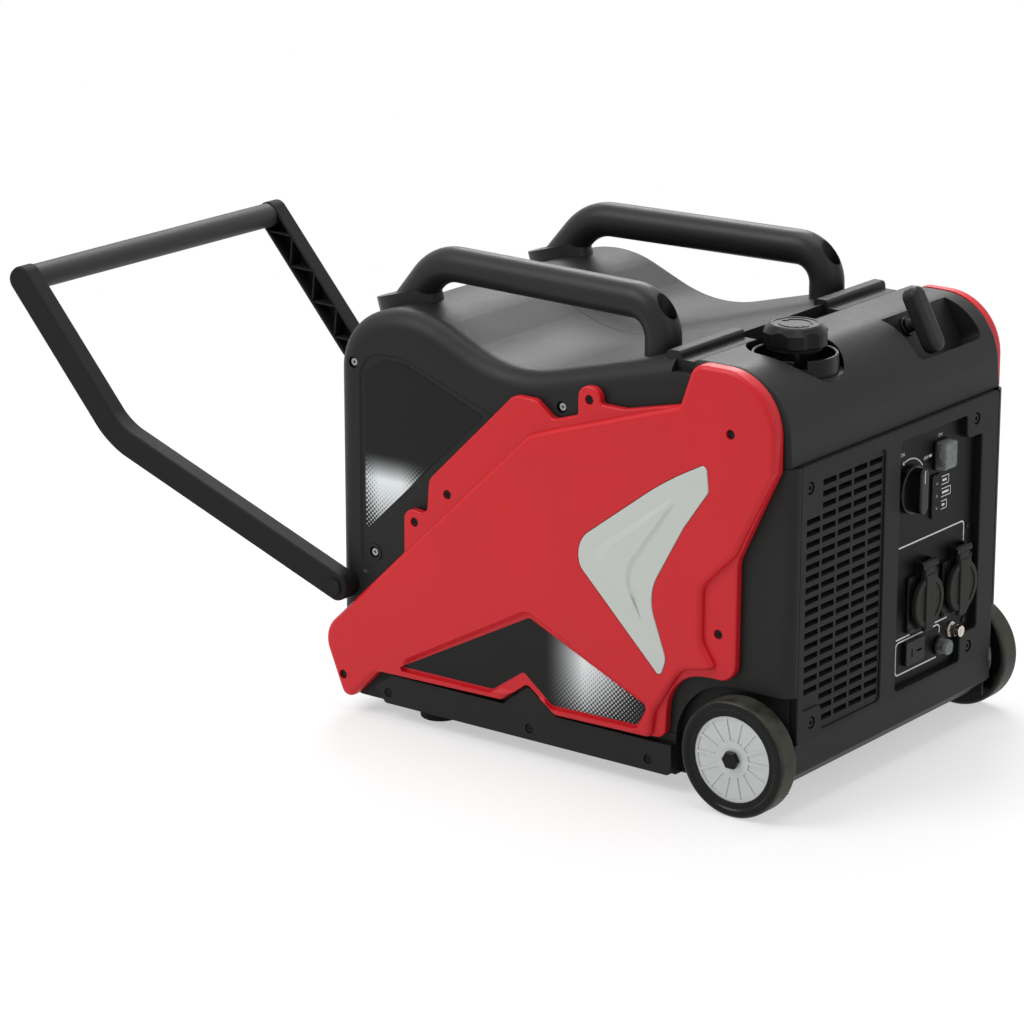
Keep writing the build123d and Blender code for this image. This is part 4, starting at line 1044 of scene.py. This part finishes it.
@dataclass
class Filler(Assembly):
    """Fuel filler with its drip collar and its fluted ratchet cap."""

    spot: Spot = (-19.0, -95.0)
    rings: tuple[Pair, ...] = (  # level and radius of the cap's edges, from its foot to the rim of its dish
        (450.0, 31.7), (451.0, 32.5), (463.5, 32.5), (469.6, 26.2),
        (470.8, 24.2), (470.8, 22.4), (470.1, 21.9),
    )
    sides: int = 120  # flats round the cap
    flutes: int = 6
    flute_turn: float = -27.0  # angle of the first flute, in degrees
    flute_half: float = 15.0  # half of a flute's width, in degrees
    flute_deep: float = 2.8
    bore: Pair = (3.4, 13.0)  # wall and depth of the hollow under the cap
    dish: float = 470.0  # level of the dished top
    mark: float = 0.8  # height of the turn mark on it
    mark_r: float = 16.0  # radius of the mark
    mark_line: float = 2.2
    mark_spans: tuple[Pair, ...] = ((25.0, 155.0), (205.0, 335.0))  # angles of its arcs, in degrees
    head_turn: float = 10.0  # angle from an arc's end to its arrow head
    head: tuple[float, float, float] = (3.5, 2.5, 3.4)  # reach of the head ahead, back and to a side
    # radius and level of the collar's edges, below and above the root of its notch
    collar_foot: tuple[Pair, ...] = ((39.6, 424.1), (44.0, 424.1), (43.4, 434.0), (39.6, 434.0))
    collar_rim: tuple[Pair, ...] = (
        (39.6, 434.0), (43.4, 434.0), (42.8, 441.2), (42.0, 442.0), (40.4, 442.0), (39.6, 441.2),
    )
    notch: Pair = (-49.0, 9.0)  # angle and half-width of the spill notch, in degrees

    finishes: ClassVar[Dressing] = {
        SOFT_RUBBER: ("cap_insert",),
        GLOSS_BLACK: ("filler_neck",),
        TANK_GREY: ("fuel_tank",),
    }

    def flute(self, angle: float) -> float:
        """Depth of the flutes at an angle.

        Args:
            angle: angle round the cap, in degrees.

        Returns:
            Depth, nothing on the lands between the flutes.
        """
        pitch = 360 / self.flutes
        aside = (angle - self.flute_turn + pitch / 2) % pitch - pitch / 2
        return self.flute_deep * max(0.0, 1 - (aside / self.flute_half) ** 2)

    def cap(self) -> BMesh:
        """Fluted cap with a sloping shoulder and a dished top.

        Returns:
            A new bmesh.
        """
        shape = bmesh.new()
        centre = place(*self.spot, 0.0)
        up = View.TOP.out * MM
        level, radius = self.rings[0]
        bmesh.ops.create_circle(
            shape, cap_ends=True, segments=self.sides, radius=radius * MM,
            matrix=Matrix.Translation(place(*self.spot, level)),
        )
        foot = top = shape.faces[:][0]
        for after, size in self.rings[1:]:
            top = grow(shape, top, up * (after - level), keep=top is foot)
            ratio = size / radius
            bmesh.ops.scale(
                shape, verts=top.verts[:], vec=(ratio, ratio, 1), space=Matrix.Translation(-centre),
            )
            level, radius = after, size
        bmesh.ops.inset_region(shape, faces=[foot], thickness=self.bore[0] * MM)
        grow(shape, foot, up * self.bore[1])
        (brow, wide), (crest, narrow) = self.rings[2], self.rings[3]
        slope = (crest - brow) / (wide - narrow)
        for vert in shape.verts:
            arm = vert.co - centre
            across = Vector((arm.x, arm.y, 0))
            if across.length < (self.rings[0][1] - SLACK) * MM:
                continue
            deep = self.flute(math.degrees(math.atan2(arm.y, arm.x))) * MM
            vert.co -= across.normalized() * deep
            if arm.z > (brow - SLACK) * MM:
                vert.co.z += deep * slope
        return shape

    def turn_mark(self) -> list[BMesh]:
        """Raised turn mark on the cap: an open circle with two arrow heads.

        Returns:
            The parts of the mark.
        """
        pen = Pen(View.TOP, self.mark_line, self.dish, self.mark)
        ahead, back, aside = self.head
        shapes: list[BMesh] = []
        for span in self.mark_spans:
            out = ray(span[1] + self.head_turn)
            on = Vector((-out.y, out.x))
            root = Vector(self.spot) + out * self.mark_r
            head = (root + on * ahead, root - on * back + out * aside, root - on * back - out * aside)
            shapes += [pen.arc(self.spot, self.mark_r, span), slab(View.TOP, head, self.dish, self.mark)]
        return shapes

    def build(self) -> list[Object]:
        """Cap with its turn mark, and the drip collar with its spill notch.

        Returns:
            The new pieces.
        """
        cap = piece("ratchet_cap", [self.cap()], GLOSS_BLACK, "cap")
        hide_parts("fuel_cap")
        angle, half = self.notch
        foot = revolve(View.TOP, self.spot, self.collar_foot)
        rim = revolve(View.TOP, self.spot, self.collar_rim, (angle + half, angle - half + 360))
        collar = piece("filler_collar", [foot, rim], GLOSS_BLACK)
        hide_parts("drip_collar")
        mark = piece("cap_turn_mark", self.turn_mark(), GLOSS_BLACK, "cap")
        return [cap, collar, mark]


@dataclass
class Starter(Assembly):
    """Recoil starter with its grip and rope."""

    start: tuple[float, float, float] = (-5.0, 88.0, 432.0)  # where the rope leaves the hood
    rise: float = 28.0  # angle of the pull above level, in degrees
    radius: float = 2.5  # of the rope
    run: float = 280.0  # rope inside the hood at rest
    stem: float = 4.0  # rope between hood and grip
    sides: int = 14  # flats round the rope
    rings: int = 90  # cuts along it

    finishes: ClassVar[Dressing] = {
        HANDLE_BLACK: ("recoil_grip",),
        GLOSS_BLACK: ("rope_guide",),
        TANK_GREY: ("recoil_pulley",),
        HOT_STEEL: ("recoil_housing",),
    }

    def build(self) -> list[Object]:
        """Rope that stretches between the pulley and the grip.

        Returns:
            The rope.
        """
        tilt = ray(self.rise)
        pull = Vector((tilt.x, 0, tilt.y))
        low = place(*self.start) - pull * self.run * MM
        high = place(*self.start) + pull * self.stem * MM
        turn = pull.to_track_quat("Z", "Y").to_matrix().to_4x4()
        length, thick = (high - low).length, 2 * self.radius * MM
        shape = bmesh.new()
        bmesh.ops.create_cone(
            shape, cap_ends=True, segments=self.sides, radius1=thick / 2, radius2=thick / 2, depth=length,
            matrix=Matrix.Translation((low + high) / 2) @ turn,
        )
        lengthwise = [e for e in shape.edges if e.calc_length() > length / 2]
        bmesh.ops.subdivide_edges(shape, edges=lengthwise, cuts=self.rings, use_grid_fill=True)
        rope = piece("starter_cord", [shape], CORD_BLACK, "")
        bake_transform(rope)
        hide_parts("starter_rope")
        return [rope]


@dataclass
class ControlPanel(Assembly):
    """Controls on the recessed plate, their printed marks and clear covers."""

    face: float = 42.0  # front face of the plate
    paint: float = 0.2  # thickness of print
    switch: Spot = (25.0, 285.0)
    eco: Spot = (82.0, 309.0)
    display: Spot = (75.0, 266.0)
    sockets: tuple[Spot, ...] = ((52.0, 162.0), (118.0, 162.0))
    breaker: Spot = (90.0, 103.0)
    earth: Spot = (114.0, 114.0)
    line: float = 1.5  # width of the printed frames
    frames: tuple[tuple[Spot, Spot], ...] = (  # ends of their straight lines
        ((8, 226), (129, 226)), ((134, 221), (134, 204)), ((8, 129), (34, 129)), ((68, 129), (106, 129)),
        ((13, 125.6), (87, 125.6)), ((8, 96), (8, 120.6)), ((13, 91), (87, 91)), ((92, 120.6), (92, 116)),
    )
    bend: float = 5.0  # radius of their bends
    bends: tuple[tuple[Spot, Pair], ...] = (  # centres and angles of these
        ((129, 221), (0, 90)), ((87, 120.6), (0, 90)), ((13, 120.6), (90, 180)), ((13, 96), (180, 270)),
    )
    scale_r: float = 31.0  # radius of the switch's scale
    scale_line: float = 1.3
    scale: Pair = (38.0, 112.0)  # its first and last angle, in degrees
    dot: Post = Post(1.9, 0.0, 0.2)
    # words with their middles
    captions: tuple[tuple[str, Spot], ...] = (("ON", (11, 323)), ("OFF", (55.5, 310)), ("ON", (82, 328.5)))
    letter: float = 5.0  # height of the letters
    eco_dash: Block = Block((-21.0, 0.5), (-15.5, 3.0), 0.0, 0.2)  # mark beside the rocker
    # height above the display's middle and length of each box beside a lamp
    rows: tuple[Pair, ...] = ((13, 16), (0, 20), (-13, 13))
    box_left: float = 10.0  # where the boxes start, from the display's middle
    box_half: float = 4.2
    box_line: float = 0.8
    bar_inset: float = 4.0  # of the bar in a box, from its ends
    bar_half: float = 1.2
    lamp: Post = Post(1.9, 1.6, 1.2, edge=0.6)
    pointer: Block = Block((-0.8, 8.2), (0.8, 21.8), 17.7, 0.9)
    strap: Block = Block((-8.8, -26.5), (8.8, 29.0), 11.4, 2.2, corner=1.0, edge=0.8)
    # clear box over the rocker
    eco_box: Block = Block((-12.0, -14.0), (12.0, 14.0), 3.4, 11.0, corner=3.0, edge=2.0, steps=4)
    boot: Post = Post(8.2, 3.4, 11.5, edge=2.0)  # clear boot over the breaker button
    skin: float = 0.8  # wall of box and boot
    squash: Pair = (4.5, 11.5)  # where the boot starts and stops to shorten when pressed, out from the plate; only the two points are worked out, nothing shortens the boot
    nut: Post = Post(6.0, 9.0, 4.6, edge=0.7, sides=24)  # of the earth terminal
    plate_screw: Post = Post(3.0, -0.1, 1.6, edge=0.7)
    plate_screws: tuple[Spot, ...] = ((112, 309), (140, 219), (138, 118), (4, 226))
    socket_screw: Post = Post(2.2, 3.9, 1.0, edge=0.4)
    socket_corner: Spot = (24.5, 26.5)  # places of its screws from an outlet's middle

    finishes: ClassVar[Dressing] = {
        KNOB_BLACK: ("engine_switch",),
        LID_GREY: ("socket_lid_1", "socket_lid_2"),
        PLATE_BLACK: ("control_plate", "status_display"),
        SOCKET_BLACK: ("ac_socket_1", "ac_socket_2", "dc_socket", "switch_bezels"),
        KEY_GREY: ("eco_rocker", "breaker_button"),
        BRASS: ("earth_terminal",),
    }

    def set_up(self, shape: Block | Post, spot: Sequence[float]) -> BMesh:
        """Stands a block or a post on the plate."""
        return shape.on(View.FRONT, spot, self.face)

    def marks(self) -> list[BMesh]:
        """Printed frames, the switch's scale, captions and the rocker's mark.

        Returns:
            The printed marks.
        """
        pen = Pen(View.FRONT, self.line, self.face, self.paint)
        thin = Pen(View.FRONT, self.scale_line, self.face, self.paint)
        end = Vector(self.switch) + ray(self.scale[1]) * self.scale_r
        made = [pen.line(*ends) for ends in self.frames]
        made += [pen.arc(spot, self.bend, span) for spot, span in self.bends]
        made += [thin.arc(self.switch, self.scale_r, self.scale), self.set_up(self.dot, end)]
        made += [pen.word(text, spot, self.letter) for text, spot in self.captions]
        return [*made, self.set_up(self.eco_dash, self.eco)]

    def boxes(self) -> list[BMesh]:
        """Outlined boxes beside the lamps of the status display.

        Returns:
            The printed boxes.
        """
        pen = Pen(View.FRONT, self.box_line, self.face, self.paint)
        left = self.display[0] + self.box_left
        made: list[BMesh] = []
        for up, length in self.rows:
            middle = self.display[1] + up
            low, high, right = middle - self.box_half, middle + self.box_half, left + length
            ends = ((left, low), (right, low), (right, high), (left, high))
            made += [pen.line(a, b) for a, b in zip(ends, ends[1:] + ends[:1])]
            start, stop = (self.bar_inset, -self.bar_half), (length - self.bar_inset, self.bar_half)
            made.append(self.set_up(Block(start, stop, 0.0, self.paint), (left, middle)))
        return made

    def straps(self) -> list[Object]:
        """Raised strap down the middle of each outlet lid.

        Returns:
            One strap for each lid.
        """
        made: list[Object] = []
        for number, spot in enumerate(self.sockets, start=1):
            strap = self.set_up(self.strap, spot)
            made.append(piece(f"lid_strap_{number}", [strap], LID_GREY, f"lid_{number}"))
        return made

    def clear_covers(self) -> list[Object]:
        """Clear box over the economy rocker and clear boot over the breaker button.

        Returns:
            Both covers.
        """
        box = hollowed(self.set_up(self.eco_box, self.eco), View.FRONT, self.skin)
        post = hollowed(self.set_up(self.boot, self.breaker), View.FRONT, self.skin)
        eco = piece("eco_cover", [box], SMOKED_CLEAR, keep_normals=True)
        boot = piece("breaker_cover", [post], SMOKED_CLEAR, "", keep_normals=True)
        ends = [tuple(View.FRONT.point(*self.breaker, self.face + at)) for at in self.squash]
        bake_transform(boot)
        return [eco, boot]

    def small_metal(self) -> list[Object]:
        """Nut of the earth terminal and the screws of the plate and the outlets.

        Returns:
            The nut and the screws.
        """
        heads = [self.set_up(self.plate_screw, spot) for spot in self.plate_screws]
        aside, up = self.socket_corner
        for y, z in self.sockets:
            corners = ((y - aside, z - up), (y + aside, z - up), (y - aside, z + up), (y + aside, z + up))
            heads += [self.set_up(self.socket_screw, spot) for spot in corners]
        return [
            piece("earth_nut", [self.set_up(self.nut, self.earth)], BRASS),
            piece("plate_screws", heads, DARK_SCREW),
        ]

    def build(self) -> list[Object]:
        """Prints, lamps, straps, covers and small metal parts.

        Returns:
            The new pieces.
        """
        y, z = self.display
        pointer = self.set_up(self.pointer, self.switch)
        lamps = [self.set_up(self.lamp, (y, z + up)) for up, _ in self.rows]
        made = [
            piece("plate_print", self.marks() + self.boxes(), PRINT_WHITE),
            piece("switch_pointer", [pointer], PRINT_WHITE, "switch_knob"),
            piece("status_lamps", lamps, LAMP_LENS),
        ]
        return made + self.straps() + self.clear_covers() + self.small_metal()


@dataclass
class PowerUnit(Assembly):
    """Engine, generator and inverter inside the case."""

    finishes: ClassVar[Dressing] = {
        TANK_GREY: ("air_filter_box",),
        CASTING: ("crankcase", "cylinder", "cylinder_cover", "rotor", "carburettor", "inverter_module"),
        HOT_STEEL: ("muffler",),
        WINDING: ("stator",),
        SOFT_RUBBER: ("engine_mounts",),
    }


@dataclass(frozen=True)
class Lamp:
    """A soft square lamp."""

    name: str
    where: tuple[float, float, float]  # in metres
    size: float
    watts: float

    def build(self, aim: tuple[float, float, float]) -> None:
        """Hangs the lamp.

        Args:
            aim: the point that it faces.
        """
        data = bpy.data.lights.new(self.name, "AREA")
        data.size = self.size
        data.energy = self.watts
        lamp = bpy.data.objects.new(self.name, data)
        lamp.location = self.where
        lamp.rotation_mode = "QUATERNION"
        lamp.rotation_quaternion = (Vector(aim) - Vector(self.where)).to_track_quat("-Z", "Y")
        bpy.context.scene.collection.objects.link(lamp)


@dataclass
class Studio:
    """Camera, soft lamps, pale floor and bright surroundings."""

    # place of the camera, in millimetres ahead of the axle, off the middle plane and above the floor
    eye: tuple[float, float, float] = (2054.6, -3278.5, 1416.7)
    tilt: float = 16.72  # below the horizon, in degrees
    turn: float = 37.24  # round the object, in degrees
    lens: float = 141.07
    sensor: float = 36.0
    sky: float = 0.35  # strength of the surroundings on the object
    near: float = 0.45  # to here the floor keeps most of its shade, in metres
    far: float = 1.3  # from here it is plain white
    lift: float = 0.5  # share of plain white near the object
    floor_half: float = 30.0
    floor_grey: float = 0.93
    floor_rough: float = 0.9
    aim: tuple[float, float, float] = (0.1, 0.0, 0.25)  # the point that the lamps face
    lamps: tuple[Lamp, ...] = (
        Lamp("key", (-1.4, -2.2, 3.0), 2.0, 75),
        Lamp("top", (0.1, 0.5, 3.2), 2.4, 60),
        Lamp("front", (3.0, -0.4, 1.4), 1.6, 10),
        Lamp("back", (-1.5, 2.3, 2.5), 1.6, 60),
    )

    def camera(self) -> None:
        """Sets the photograph's view."""
        data = bpy.data.cameras.new("camera")
        data.lens = self.lens
        data.sensor_width = self.sensor
        seat = bpy.data.objects.new("camera", data)
        seat.location = place(*self.eye)
        seat.rotation_euler = (math.radians(90 - self.tilt), 0, math.radians(self.turn))
        bpy.context.scene.collection.objects.link(seat)
        bpy.context.scene.camera = seat

    def seen(self, graph: Graph) -> Wire:
        """One for rays that show the background: from the camera, in gloss or through clear plastic.

        Args:
            graph: the tree of the floor or the world.

        Returns:
            One or nothing.
        """
        rays = ("Is Camera Ray", "Is Glossy Ray", "Is Transmission Ray")
        camera, gloss, through = (graph.node("ShaderNodeLightPath", {}, {}, name) for name in rays)
        return (camera + gloss + through).clamp()

    def surroundings(self) -> None:
        """Makes the world white to the camera and even to the object."""
        world = bpy.data.worlds.new("surroundings")
        bpy.context.scene.world = world
        graph = Graph(world)
        soft = graph.node("ShaderNodeBackground", {}, {"Color": WHITE, "Strength": self.sky})
        plain = graph.node("ShaderNodeBackground", {}, {"Color": WHITE, "Strength": 1.0})
        graph.close(graph.node("ShaderNodeMixShader", {}, {0: self.seen(graph), 1: soft, 2: plain}))

    def floor(self) -> None:
        """Lays a wide pale floor that turns plain white away from the object."""
        shape = bmesh.new()
        bmesh.ops.create_grid(shape, x_segments=1, y_segments=1, size=self.floor_half)
        mesh = bpy.data.meshes.new("floor")
        shape.to_mesh(mesh)
        shape.free()
        graph = Graph(bpy.data.materials.new("floor_paint"))
        grey = (self.floor_grey, self.floor_grey, self.floor_grey, 1.0)
        paint = graph.shader({"Base Color": grey, "Roughness": self.floor_rough})
        white = graph.node("ShaderNodeEmission", {}, {"Color": WHITE, "Strength": 1.0})
        ahead, aside = graph.axis(0), graph.axis(1)
        away = (ahead * ahead + aside * aside).root().ramp(self.near, self.far)
        share = (away * (1.0 - self.lift) + self.lift) * self.seen(graph)
        look = graph.node("ShaderNodeMixShader", {}, {0: share, 1: paint, 2: white})
        mesh.materials.append(graph.close(look))
        floor = bpy.data.objects.new("floor", mesh)
        bpy.context.scene.collection.objects.link(floor)

    def build(self) -> None:
        """Builds the whole studio."""
        bpy.context.scene.view_settings.view_transform = "Standard"
        self.camera()
        self.surroundings()
        self.floor()
        for lamp in self.lamps:
            lamp.build(self.aim)


def main() -> None:
    """Dresses the frame, builds the pieces and sets up the studio."""
    logging.basicConfig(level=logging.INFO, format="%(name)s: %(message)s")
    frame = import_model()
    for assembly in (Casing(), RunningGear(), Handles(), Filler(), Starter(), ControlPanel(), PowerUnit()):
        for name in assembly.dress(frame["nodes"]):
            LOG.info("dressed %s", name)
        for made in assembly.build():
            LOG.info("built %s", made.name)
    Studio().build()
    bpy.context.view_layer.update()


if __name__ == "__main__":
    main()
